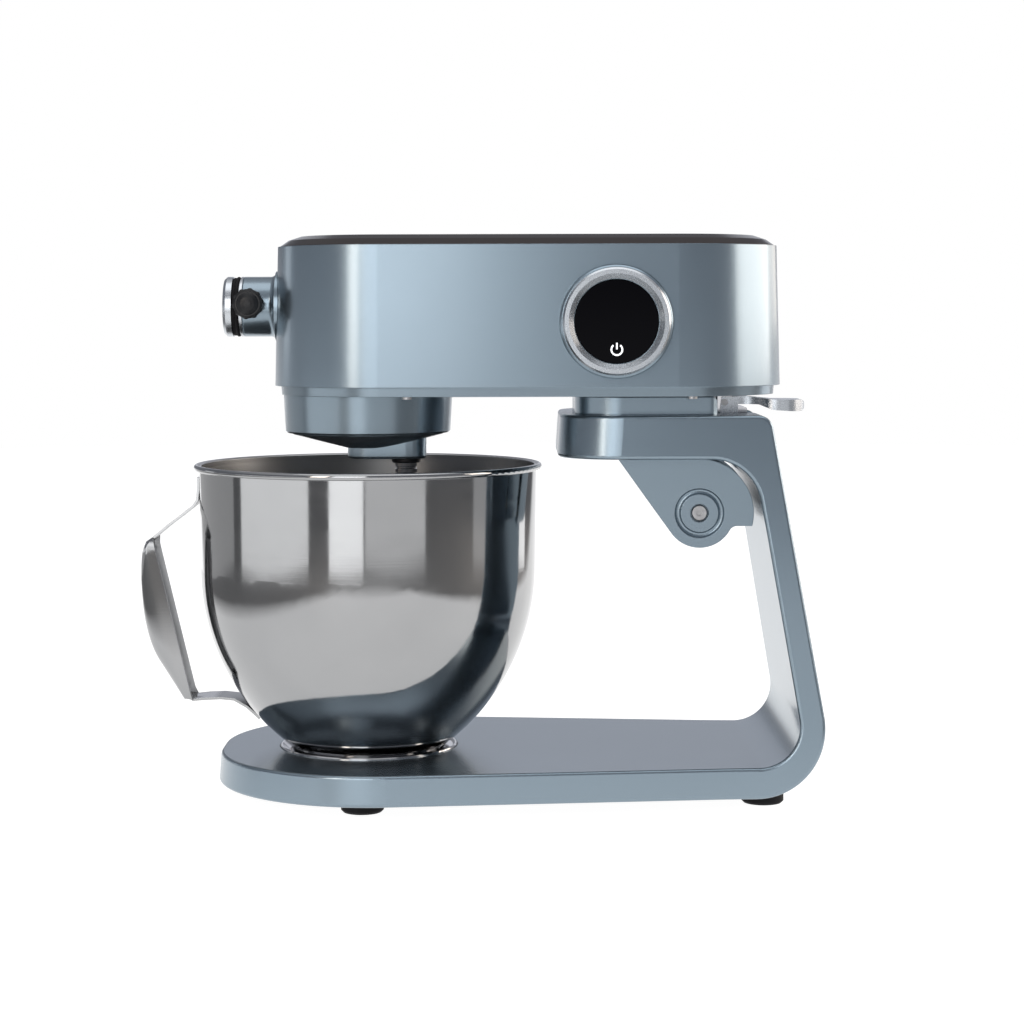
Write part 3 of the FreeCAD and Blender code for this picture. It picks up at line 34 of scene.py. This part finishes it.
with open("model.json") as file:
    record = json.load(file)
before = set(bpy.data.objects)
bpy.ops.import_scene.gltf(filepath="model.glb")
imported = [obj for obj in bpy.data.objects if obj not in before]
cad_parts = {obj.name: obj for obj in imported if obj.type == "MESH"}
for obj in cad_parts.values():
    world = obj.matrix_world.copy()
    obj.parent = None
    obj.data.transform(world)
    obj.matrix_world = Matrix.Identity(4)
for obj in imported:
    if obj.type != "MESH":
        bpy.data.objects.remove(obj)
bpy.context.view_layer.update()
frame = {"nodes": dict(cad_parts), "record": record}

MM = 0.001
GLASS_LOW, GLASS_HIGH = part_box("dial_glass")
BOWL_AXIS_X = (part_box("bowl_body")[0].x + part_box("bowl_body")[1].x) / 2
DIAL_CENTRE = (GLASS_LOW + GLASS_HIGH) / 2


# ---- camera -------------------------------------------------------------------------------------

CAMERA_PLACE = (0.0242, -1.5, 0.300)
CAMERA_ROLL = math.radians(-0.15)
CAMERA_LENS = 82.9
CAMERA_SHIFT = -0.1924


def make_camera():
    data = bpy.data.cameras.new("photo_camera")
    data.lens = CAMERA_LENS
    data.shift_y = CAMERA_SHIFT
    camera = bpy.data.objects.new("photo_camera", data)
    camera.location = CAMERA_PLACE
    level = Euler((math.radians(90), 0, 0)).to_matrix()
    camera.rotation_euler = (level @ Euler((0, 0, CAMERA_ROLL)).to_matrix()).to_euler()
    bpy.context.scene.collection.objects.link(camera)
    bpy.context.scene.camera = camera


# ---- floor, background and lights ---------------------------------------------------------------

FLOOR_RADIUS = 4.0
FLOOR_SIDES = 96
FLOOR_EMISSION = (0.02, 0.97)

# The floor's glow fades between these Y in front, and between these distances from X = 0 at each side.
# The sides open towards the back by SIDE_SPREAD for each metre.
FRONT_FADE = (-1.0, -0.6)
SIDE_FADE = (0.45, 0.62)
SIDE_SPREAD = 0.25

FLOOR_GLOW = (0.90, 0.90, 0.92)
WALL_GLOW = (0.24, 0.25, 0.28)
CEILING_GLOW = (0.75, 0.75, 0.77)

# How high a reflected direction points, from 0 straight down to 1 straight up, and the room's glow there.
ROOM_STEPS = ((0.490, FLOOR_GLOW), (0.515, WALL_GLOW), (0.75, WALL_GLOW))


def mesh_piece(name, vertices, faces):
    """New object at the origin with its place in its vertices."""
    mesh = bpy.data.meshes.new(name)
    mesh.from_pydata([tuple(v) for v in vertices], [], faces)
    mesh.update()
    piece = bpy.data.objects.new(name, mesh)
    bpy.context.scene.collection.objects.link(piece)
    return piece


def make_floor():
    """Floor that glows white round and behind the mixer, so there is little shadow, and is grey elsewhere."""
    angles = [2 * math.pi * i / FLOOR_SIDES for i in range(FLOOR_SIDES)]
    rim = [(FLOOR_RADIUS * math.cos(angle), FLOOR_RADIUS * math.sin(angle), 0) for angle in angles]
    floor = mesh_piece("floor", rim, [tuple(range(FLOOR_SIDES))])
    look = Look("floor_white", (0.25, 0.25, 0.25), roughness=0.7)
    look.vary("Roughness", look.noise(9, 3), 0.65, 0.75)
    look.shader.inputs["Specular IOR Level"].default_value = 0.1
    look.shader.inputs["Emission Color"].default_value = (1, 1, 1, 1)
    behind_front = look.remapped(look.along("Y"), 0.0, 1.0, *FRONT_FADE)
    outside = look.joined("SUBTRACT", look.joined("ABSOLUTE", look.along("X")),
                          look.joined("MULTIPLY", look.along("Y"), SIDE_SPREAD))
    between_sides = look.remapped(outside, 1.0, 0.0, *SIDE_FADE)
    glow = look.joined("MULTIPLY", behind_front, between_sides)
    look.vary("Emission Strength", glow, *FLOOR_EMISSION, 0.0, 1.0)
    floor.data.materials.append(look.material)


def make_background():
    """White where the camera looks; the mixer reflects a bright floor, dim walls and a brighter ceiling."""
    world = bpy.data.worlds.new("studio")
    bpy.context.scene.world = world
    world.use_nodes = True
    nodes, links = world.node_tree.nodes, world.node_tree.links
    nodes.clear()
    path = nodes.new("ShaderNodeLightPath")
    seen = nodes.new("ShaderNodeBackground")
    seen.inputs["Color"].default_value = (1, 1, 1, 1)
    felt = nodes.new("ShaderNodeBackground")
    direction = nodes.new("ShaderNodeTexCoord")
    split = nodes.new("ShaderNodeSeparateXYZ")
    height = nodes.new("ShaderNodeMapRange")
    height.inputs["From Min"].default_value = -1
    height.inputs["From Max"].default_value = 1
    ramp = nodes.new("ShaderNodeValToRGB")
    room = ramp.color_ramp
    room.elements[0].color = (*FLOOR_GLOW, 1)
    room.elements[1].color = (*CEILING_GLOW, 1)
    for place, color in ROOM_STEPS:
        room.elements.new(place).color = (*color, 1)
    mix = nodes.new("ShaderNodeMixShader")
    out = nodes.new("ShaderNodeOutputWorld")
    links.new(direction.outputs["Generated"], split.inputs[0])
    links.new(split.outputs["Z"], height.inputs["Value"])
    links.new(height.outputs["Result"], ramp.inputs["Fac"])
    links.new(ramp.outputs["Color"], felt.inputs["Color"])
    links.new(path.outputs["Is Camera Ray"], mix.inputs["Fac"])
    links.new(felt.outputs[0], mix.inputs[1])
    links.new(seen.outputs[0], mix.inputs[2])
    links.new(mix.outputs[0], out.inputs["Surface"])


HEAD_LEVEL = (0.25, 1.15)
BOWL_LEVEL = (0.005, 0.18)
WHITE = (1.0, 1.0, 1.0)
WARM = (1.0, 0.88, 0.77)
COOL = (0.90, 0.92, 1.0)

# Name, azimuth in degrees, distance and width in metres, lowest and highest point, radiance, colour.
PANELS = (
    ("head_left_strip", -30, 1.45, 0.26, HEAD_LEVEL, 5.6, WARM),
    ("head_front_box", -11, 1.5, 0.55, HEAD_LEVEL, 2.6, WHITE),
    ("head_right_box", 95, 1.6, 1.5, HEAD_LEVEL, 3.8, WARM),
    ("bowl_far_left_box", -125, 1.15, 1.30, BOWL_LEVEL, 0.38, WHITE),
    ("bowl_left_box", -63, 1.15, 1.08, BOWL_LEVEL, 1.3, WHITE),
    ("bowl_front_strip", -14, 1.15, 0.44, BOWL_LEVEL, 1.85, WHITE),
    ("bowl_front_box", 18, 1.15, 0.83, BOWL_LEVEL, 0.85, WHITE),
    ("bowl_right_haze", 85, 1.15, 0.42, BOWL_LEVEL, 0.4, WHITE),
    ("bowl_right_streak", 124, 1.15, 0.48, BOWL_LEVEL, 1.5, WHITE),
    ("rear_left_box", -120, 1.8, 0.4, (0.28, 0.5), 1.0, WHITE),
    ("rear_right_strip", 132, 1.9, 1.1, (0.3, 1.5), 1.75, WARM),
    ("rear_box", 178, 2.1, 1.4, (0.3, 1.4), 0.42, COOL),
)
TOP_LIGHT_PLACE = (0.1, -0.2, 2.0)
TOP_LIGHT_SIZE = (2.0, 1.2)


def area_light(name, place, away, size, radiance, color):
    """Rectangular light at a place that shines against the direction away."""
    data = bpy.data.lights.new(name, "AREA")
    data.shape = "RECTANGLE"
    data.size, data.size_y = size
    data.energy = radiance * math.pi * size[0] * size[1]
    data.color = color
    light = bpy.data.objects.new(name, data)
    light.location = place
    light.rotation_euler = away.to_track_quat("Z", "Y").to_euler()
    light.visible_camera = False
    bpy.context.scene.collection.objects.link(light)


def panel(name, azimuth, distance, width, heights, radiance, color):
    """Upright light facing the mixer between two heights; azimuth 0 is in front, 90 at the hinge end."""
    turn = math.radians(azimuth)
    away = Vector((math.sin(turn), -math.cos(turn), 0))
    low, high = heights
    place = away * distance + Vector((0, 0, (low + high) / 2))
    area_light(name, place, away, (width, high - low), radiance, color)


def make_lights():
    """Tall boxes at head height light the paint; low ones near the mixer draw the streaks on the bowl."""
    area_light("top_light", TOP_LIGHT_PLACE, Vector((0, 0, 1)), TOP_LIGHT_SIZE, 1.0, WHITE)
    for values in PANELS:
        panel(*values)


# ---- materials ----------------------------------------------------------------------------------

BEVEL_SAMPLES = 6

# Where facing_axis changes over: the normal's outward part times the distance to the axis, in metres.
FACING_BLEND = 0.002


class Look:
    """Material of nodes round one Principled shader; textures use the object's own coordinates in metres."""

    def __init__(self, name, color, metallic=0.0, roughness=0.5, **sockets):
        self.material = bpy.data.materials.new(name)
        self.material.use_nodes = True
        self.nodes = self.material.node_tree.nodes
        self.links = self.material.node_tree.links
        self.shader = self.nodes["Principled BSDF"]
        self.place = self.nodes.new("ShaderNodeTexCoord").outputs["Object"]
        self.shader.inputs["Base Color"].default_value = (*color, 1)
        self.shader.inputs["Metallic"].default_value = metallic
        self.shader.inputs["Roughness"].default_value = roughness
        for socket, value in sockets.items():
            self.shader.inputs[socket.replace("_", " ").title().replace("Ior", "IOR")].default_value = value

    def stretched(self, stretch):
        """Object coordinates, scaled along each axis."""
        mapping = self.nodes.new("ShaderNodeMapping")
        mapping.inputs["Scale"].default_value = stretch
        self.links.new(self.place, mapping.inputs["Vector"])
        return mapping.outputs["Vector"]

    def noise(self, scale, detail=2.0, stretch=(1, 1, 1)):
        """Noise whose features are about 1/scale metres across, before stretch."""
        node = self.nodes.new("ShaderNodeTexNoise")
        node.inputs["Scale"].default_value = scale
        node.inputs["Detail"].default_value = detail
        self.links.new(self.stretched(stretch), node.inputs["Vector"])
        return node.outputs["Fac"]

    def cells(self, scale):
        """Pattern of round cells about 1/scale metres across."""
        node = self.nodes.new("ShaderNodeTexVoronoi")
        node.inputs["Scale"].default_value = scale
        self.links.new(self.place, node.inputs["Vector"])
        return node.outputs["Distance"]

    def along(self, axis):
        """One object coordinate, in metres."""
        split = self.nodes.new("ShaderNodeSeparateXYZ")
        self.links.new(self.place, split.inputs[0])
        return split.outputs[axis]

    def joined(self, operation, first, second=0.0):
        """Sum, product or the like of outputs and plain numbers."""
        node = self.nodes.new("ShaderNodeMath")
        node.operation = operation
        for socket, value in zip(node.inputs, (first, second)):
            if isinstance(value, (int, float)):
                socket.default_value = value
            else:
                self.links.new(value, socket)
        return node.outputs[0]

    def facing_axis(self, axis_x):
        """1 where the surface faces the upright line through (axis_x, 0), and 0 where it faces away."""
        normal = self.nodes.new("ShaderNodeTexCoord").outputs["Normal"]
        split = self.nodes.new("ShaderNodeSeparateXYZ")
        self.links.new(normal, split.inputs[0])
        from_axis = self.joined("SUBTRACT", self.along("X"), axis_x)
        outward = self.joined("ADD", self.joined("MULTIPLY", from_axis, split.outputs["X"]),
                              self.joined("MULTIPLY", self.along("Y"), split.outputs["Y"]))
        return self.remapped(outward, 1.0, 0.0, -FACING_BLEND, FACING_BLEND)

    def remapped(self, source, low, high, start=0.3, end=0.7):
        """A number that runs from low to high while the source runs from start to end."""
        node = self.nodes.new("ShaderNodeMapRange")
        node.inputs["From Min"].default_value = start
        node.inputs["From Max"].default_value = end
        node.inputs["To Min"].default_value = low
        node.inputs["To Max"].default_value = high
        self.links.new(source, node.inputs["Value"])
        return node.outputs["Result"]

    def vary(self, socket, source, low, high, start=0.3, end=0.7):
        """A number of the shader that follows a texture."""
        self.links.new(self.remapped(source, low, high, start, end), self.shader.inputs[socket])
        return self

    def tint(self, source, low, high, start=0.35, end=0.65):
        """Base colour that runs from low to high with a texture."""
        ramp = self.nodes.new("ShaderNodeValToRGB")
        ramp.color_ramp.elements[0].position = start
        ramp.color_ramp.elements[0].color = (*low, 1)
        ramp.color_ramp.elements[1].position = end
        ramp.color_ramp.elements[1].color = (*high, 1)
        self.links.new(source, ramp.inputs["Fac"])
        self.links.new(ramp.outputs["Color"], self.shader.inputs["Base Color"])
        return self

    def round_edges(self, radius, normal_input):
        """Feeds an input with a normal that rounds edges by radius metres."""
        bevel = self.nodes.new("ShaderNodeBevel")
        bevel.samples = BEVEL_SAMPLES
        bevel.inputs["Radius"].default_value = radius
        self.links.new(bevel.outputs["Normal"], normal_input)

    def rounded(self, radius):
        """Edges that look rounded by radius metres, with no bumps."""
        self.round_edges(radius, self.shader.inputs["Normal"])
        return self

    def relief(self, source, depth, rounding=0.0):
        """Bumps up to depth metres high, over edges that look rounded by rounding metres."""
        bump = self.nodes.new("ShaderNodeBump")
        bump.inputs["Distance"].default_value = depth
        bump.inputs["Strength"].default_value = 1.0
        self.links.new(source, bump.inputs["Height"])
        if rounding:
            self.round_edges(rounding, bump.inputs["Normal"])
        self.links.new(bump.outputs["Normal"], self.shader.inputs["Normal"])
        return self


def shade(color, factor):
    """The colour made lighter or darker."""
    return tuple(value * factor for value in color)


PAINT_COLOR = (0.229, 0.290, 0.338)

# Roughness that the inside of the bowl has more than its outside.
SATIN_INSIDE = 0.22


def paint():
    """Satin metallic blue-grey enamel: fine flakes under a thin clear coat."""
    look = Look("blue_grey_paint", PAINT_COLOR, metallic=0.9, roughness=0.26, coat_weight=0.25,
                coat_roughness=0.12)
    look.tint(look.noise(5200, 1), shade(PAINT_COLOR, 0.94), shade(PAINT_COLOR, 1.06))
    look.vary("Roughness", look.noise(60, 1), 0.255, 0.262)
    return look.rounded(0.0007)


def glossy_black():
    look = Look("glossy_black", (0.014, 0.009, 0.009), roughness=0.12, specular_ior_level=0.35)
    look.vary("Roughness", look.noise(35, 4), 0.10, 0.17)
    return look.relief(look.noise(90, 2), 0.00002, rounding=0.0006)


def moulded_black():
    look = Look("moulded_black", (0.008, 0.009, 0.011), roughness=0.42, specular_ior_level=0.35)
    look.vary("Roughness", look.noise(300, 3), 0.36, 0.50)
    return look.relief(look.noise(2600, 3), 0.00003, rounding=0.0004)


def foot_rubber():
    look = Look("black_rubber", (0.006, 0.006, 0.007), roughness=0.72, specular_ior_level=0.2)
    look.tint(look.noise(120, 4), (0.005, 0.005, 0.006), (0.008, 0.008, 0.010))
    return look.relief(look.noise(1800, 4), 0.00005, rounding=0.0006)


def polished_steel():
    """Stainless sheet, polished outside with a faint haze and satin inside the bowl, with fine spun rings."""
    look = Look("polished_stainless", (0.36, 0.365, 0.37), metallic=1.0, roughness=0.09)
    rings = look.noise(1.0, 3, stretch=(14, 14, 2600))
    inside = look.facing_axis(BOWL_AXIS_X)
    polish = look.remapped(look.noise(26, 4, stretch=(1, 1, 3)), 0.06, 0.11)
    satin = look.joined("MULTIPLY", inside, SATIN_INSIDE)
    look.vary("Roughness", look.joined("ADD", polish, satin), 0.0, 1.0, 0.0, 1.0)
    look.tint(look.noise(18, 3), (0.35, 0.355, 0.36), (0.37, 0.375, 0.38))
    return look.relief(rings, 0.000004, rounding=0.0003)


def chrome():
    look = Look("chrome", (0.70, 0.70, 0.71), metallic=1.0, roughness=0.06)
    return look.vary("Roughness", look.noise(45, 4), 0.09, 0.13)


def satin_silver():
    """Bead-blasted and anodised aluminium."""
    look = Look("satin_silver", (0.54, 0.57, 0.60), metallic=1.0, roughness=0.27)
    return look.vary("Roughness", look.noise(500, 3), 0.25, 0.28)


def machined_steel():
    look = Look("machined_steel", (0.42, 0.42, 0.43), metallic=1.0, roughness=0.28)
    look.tint(look.noise(240, 4), (0.36, 0.36, 0.365), (0.48, 0.48, 0.49))
    return look.relief(look.noise(1, 3, stretch=(400, 400, 3000)), 0.00001, rounding=0.0002)


def bronze():
    look = Look("sintered_bronze", (0.50, 0.33, 0.15), metallic=1.0, roughness=0.38)
    look.tint(look.noise(900, 4), (0.40, 0.26, 0.11), (0.58, 0.40, 0.19))
    return look.relief(look.cells(2600), 0.00002)


def gear_plastic():
    look = Look("gear_acetal", (0.72, 0.70, 0.62), roughness=0.38, subsurface_weight=0.08)
    look.tint(look.noise(160, 3), (0.67, 0.65, 0.57), (0.76, 0.74, 0.67))
    return look.relief(look.noise(1600, 2), 0.00002, rounding=0.0003)


def cast_metal():
    look = Look("bare_casting", (0.44, 0.45, 0.46), metallic=0.9, roughness=0.5)
    look.tint(look.noise(260, 5), (0.36, 0.37, 0.38), (0.50, 0.51, 0.52))
    return look.relief(look.noise(1500, 4), 0.00006, rounding=0.0005)


def circuit_board():
    look = Look("circuit_board", (0.03, 0.17, 0.07), roughness=0.35, coat_weight=0.3)
    tracks = look.noise(900, 2, stretch=(1, 0.2, 1))
    look.tint(tracks, (0.02, 0.12, 0.05), (0.05, 0.24, 0.10), 0.47, 0.53)
    return look.relief(tracks, 0.00003)


def belt_rubber():
    look = Look("ribbed_belt", (0.022, 0.022, 0.022), roughness=0.7)
    look.tint(look.noise(400, 3), (0.016, 0.016, 0.016), (0.034, 0.034, 0.034))
    return look.relief(look.noise(1, 2, stretch=(900, 900, 30)), 0.0002)


def display_glass():
    look = Look("black_glass", (0.001, 0.001, 0.002), roughness=0.04, specular_ior_level=0.08)
    look.vary("Roughness", look.noise(60, 3), 0.03, 0.06)
    return look.relief(look.noise(40, 1), 0.000003, rounding=0.0003)


def lit_icon():
    """Printed icon, lit from behind."""
    look = Look("lit_icon", (0.9, 0.93, 0.95), roughness=0.5)
    look.shader.inputs["Emission Color"].default_value = (0.92, 0.96, 1.0, 1)
    look.shader.inputs["Emission Strength"].default_value = 0.75
    look.tint(look.noise(3000, 1), (0.84, 0.88, 0.9), (0.94, 0.96, 0.97))
    return look


LOOKS = {
    "paint": paint,
    "black_gloss": glossy_black,
    "black_plastic": moulded_black,
    "rubber": foot_rubber,
    "polished_steel": polished_steel,
    "chrome": chrome,
    "satin_silver": satin_silver,
    "steel": machined_steel,
    "bronze": bronze,
    "gear_plastic": gear_plastic,
    "cast_metal": cast_metal,
    "circuit_board": circuit_board,
    "belt_rubber": belt_rubber,
    "glass": display_glass,
}


SMOOTH_ANGLE = math.radians(28)


def dress_cad_nodes(looks):
    """Gives every CAD node its slot's look and smooth shading."""
    for part in frame["record"]["subparts"]:
        node = frame["nodes"][part["node"]]
        for material_slot in node.material_slots:
            material_slot.link = "OBJECT"
            material_slot.material = looks[part["material_slot"]]
        soften(node)


def soften(piece):
    """Smooth shading across edges under SMOOTH_ANGLE."""
    for polygon in piece.data.polygons:
        polygon.use_smooth = True
    piece.data.set_sharp_from_angle(angle=SMOOTH_ANGLE)


# ---- detail pieces ------------------------------------------------------------------------------

def face_outwards(piece):
    """Turns the faces of a closed piece outwards."""
    mesh = bmesh.new()
    mesh.from_mesh(piece.data)
    bmesh.ops.recalc_face_normals(mesh, faces=mesh.faces)
    mesh.to_mesh(piece.data)
    mesh.free()


def finish_piece(piece, body, material):
    """Shading, material, body and slot of a new piece."""
    soften(piece)
    piece.data.materials.append(material)
    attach(piece, body)


ICON_RADIUS = 3.3 * MM
ICON_LINE = 1.0 * MM
ICON_PROUD = 0.15 * MM
ICON_DROP = 17.0 * MM
ICON_STEPS = 40

# Half the ring's opening at the top, and the bar's lowest and highest point above the ring's centre.
ICON_GAP = math.radians(38)
ICON_BAR = (0.2 * MM, ICON_RADIUS + 0.8 * MM)


def power_icon(material):
    """Open ring with a bar in its gap, a little proud of the glass and below the dial's centre."""
    centre = Vector((DIAL_CENTRE.x, GLASS_LOW.y, DIAL_CENTRE.z - ICON_DROP))
    vertices, faces = [], []

    def ribbon(pairs):
        """Strip of flat boxes through (outer, inner) pairs in X, Z."""
        first = len(vertices)
        for outer, inner in pairs:
            for (x, z), y in zip((outer, inner, inner, outer), (-1, -1, 1, 1)):
                vertices.append(centre + Vector((x, y * ICON_PROUD, z)))
        last = len(vertices) - 4
        for row in range(first, last, 4):
            for i in range(4):
                following = (i + 1) % 4
                faces.append((row + i, row + following, row + 4 + following, row + 4 + i))
        faces.append((first + 3, first + 2, first + 1, first))
        faces.append((last, last + 1, last + 2, last + 3))

    arc = []
    for i in range(ICON_STEPS + 1):
        angle = math.pi / 2 + ICON_GAP + (2 * math.pi - 2 * ICON_GAP) * i / ICON_STEPS
        direction = (math.cos(angle), math.sin(angle))
        arc.append([tuple(c * (ICON_RADIUS + side * ICON_LINE / 2) for c in direction) for side in (1, -1)])
    ribbon(arc)
    ribbon([((ICON_LINE / 2, z), (-ICON_LINE / 2, z)) for z in ICON_BAR])
    piece = mesh_piece("power_icon", vertices, faces)
    face_outwards(piece)
    finish_piece(piece, "head", material)


# The handle's sheet: half its width, its thickness, and how many steps it has from its middle to its edge.
STRAP_HALF = 12.5 * MM
SHEET = 1.5 * MM
HALF_STEPS = 10

# The grip: half its width at the crease, the flange inside the crease, the share of the steps that the
# dome takes, and how deep the crease lies at least, as a share of the way from crown to mouth.
CREASE_HALF = 11.6 * MM
FLANGE = 5.3 * MM
DOME_SHARE = 0.9
LEAST_CREASE = 0.4
GRIP_ROWS = 28

# Lines down the middle of the handle's outer face and of the grip's mouth, in X and Z, in millimetres.
UPPER_STRAP = [(-174.9, 198), (-174.9, 190), (-175.4, 184), (-177.6, 180.6), (-186, 174), (-194, 168),
               (-203, 160.5)]
GRIP_CROWN = [(-208.5, 157), (-211.0, 151), (-212.0, 140), (-211.6, 125), (-209.4, 106.3), (-204, 88),
              (-195.4, 73.7), (-184.2, 56.9)]
LOWER_STRAP = [(-178, 57), (-170, 57.6), (-160, 58), (-152, 57.2), (-144, 52.6), (-136, 45.4)]
GRIP_MOUTH = [(-202, 154.9), (-179.5, 62.5)]


def bowl_handle(material):
    """Handle pressed from one sheet: flat straps, and a grip domed outwards with its edges turned in."""
    steps = [i / HALF_STEPS for i in range(-HALF_STEPS, HALF_STEPS + 1)]
    start, end = (Vector((x, 0, z)) * MM for x, z in GRIP_MOUTH)
    rows = strap_rows(UPPER_STRAP, steps)
    for i, crown in enumerate(resampled([Vector((x, 0, z)) * MM for x, z in GRIP_CROWN], GRIP_ROWS)):
        mouth = start.lerp(end, i / (GRIP_ROWS - 1))
        rows.append(grip_row(crown, mouth - crown, steps))
    rows += strap_rows(LOWER_STRAP, steps)
    piece = sheet_piece("pressed_handle", rows, SHEET)
    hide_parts("bowl_handle")
    finish_piece(piece, "bowl", material)


def strap_rows(line, steps):
    """Straight rows across the sheet, one at each point of a line."""
    return [[Vector((x * MM, STRAP_HALF * step, z * MM)) for step in steps] for x, z in line]


def grip_row(crown, inward, steps):
    """Row across the grip: domed each side of the crown as far as a crease, then a flange to the mouth."""
    crease = max(1 - FLANGE / inward.length, LEAST_CREASE)
    row = []
    for step in steps:
        if abs(step) == 1:
            side, depth = STRAP_HALF, 1.0
        else:
            angle = min(abs(step) / DOME_SHARE, 1.0) * math.pi / 2
            side = CREASE_HALF * math.sin(angle)
            depth = crease * (1 - math.cos(angle))
        row.append(crown + inward * depth + Vector((0, math.copysign(side, step), 0)))
    return row


SPLINE_STEPS = 20


def resampled(points, count):
    """Points evenly spread along a smooth (Catmull-Rom) line through the given ones."""
    extended = [points[0] * 2 - points[1]] + points + [points[-1] * 2 - points[-2]]
    dense = []
    for a, b, c, d in zip(extended, extended[1:], extended[2:], extended[3:]):
        for i in range(SPLINE_STEPS):
            t = i / SPLINE_STEPS
            dense.append((b * 2 + (c - a) * t + (a * 2 - b * 5 + c * 4 - d) * t ** 2
                          + (b * 3 - a - c * 3 + d) * t ** 3) / 2)
    dense.append(points[-1])
    lengths = [0.0]
    for first, second in zip(dense, dense[1:]):
        lengths.append(lengths[-1] + (second - first).length)
    spread, place = [], 0
    for i in range(count):
        goal = lengths[-1] * i / (count - 1)
        while place < len(lengths) - 2 and lengths[place + 1] < goal:
            place += 1
        share = (goal - lengths[place]) / (lengths[place + 1] - lengths[place])
        spread.append(dense[place].lerp(dense[place + 1], share))
    return spread


def sheet_piece(name, rows, thickness):
    """Closed sheet: its outer face runs through rows of points, its inner face lies thickness behind."""
    last, width = len(rows) - 1, len(rows[0])

    def behind(i, j):
        """Point of the inner face behind point j of row i."""
        along = rows[min(i + 1, last)][j] - rows[max(i - 1, 0)][j]
        across = rows[i][min(j + 1, width - 1)] - rows[i][max(j - 1, 0)]
        return rows[i][j] + along.cross(across).normalized() * thickness

    outer = [point for row in rows for point in row]
    inner = [behind(i, j) for i in range(last + 1) for j in range(width)]
    faces = []
    for i in range(last):
        for j in range(width - 1):
            a = i * width + j
            b, c, d = a + 1, a + width + 1, a + width
            faces += [(a, b, c, d), tuple(len(outer) + k for k in (d, c, b, a))]
    border = [i * width for i in range(last + 1)] + [last * width + j for j in range(1, width)]
    border += [i * width + width - 1 for i in range(last - 1, -1, -1)] + list(range(width - 2, 0, -1))
    for a, b in zip(border, border[1:] + border[:1]):
        faces.append((a, b, b + len(outer), a + len(outer)))
    piece = mesh_piece(name, outer + inner, faces)
    face_outwards(piece)
    return piece


# ---- making -------------------------------------------------------------------------------------

bpy.context.scene.view_settings.view_transform = "Standard"
make_camera()
make_floor()
make_background()
make_lights()
finished = {slot: make().material for slot, make in LOOKS.items()}
dress_cad_nodes(finished)
power_icon(lit_icon().material)
bowl_handle(finished["polished_steel"])

bpy.context.view_layer.update()
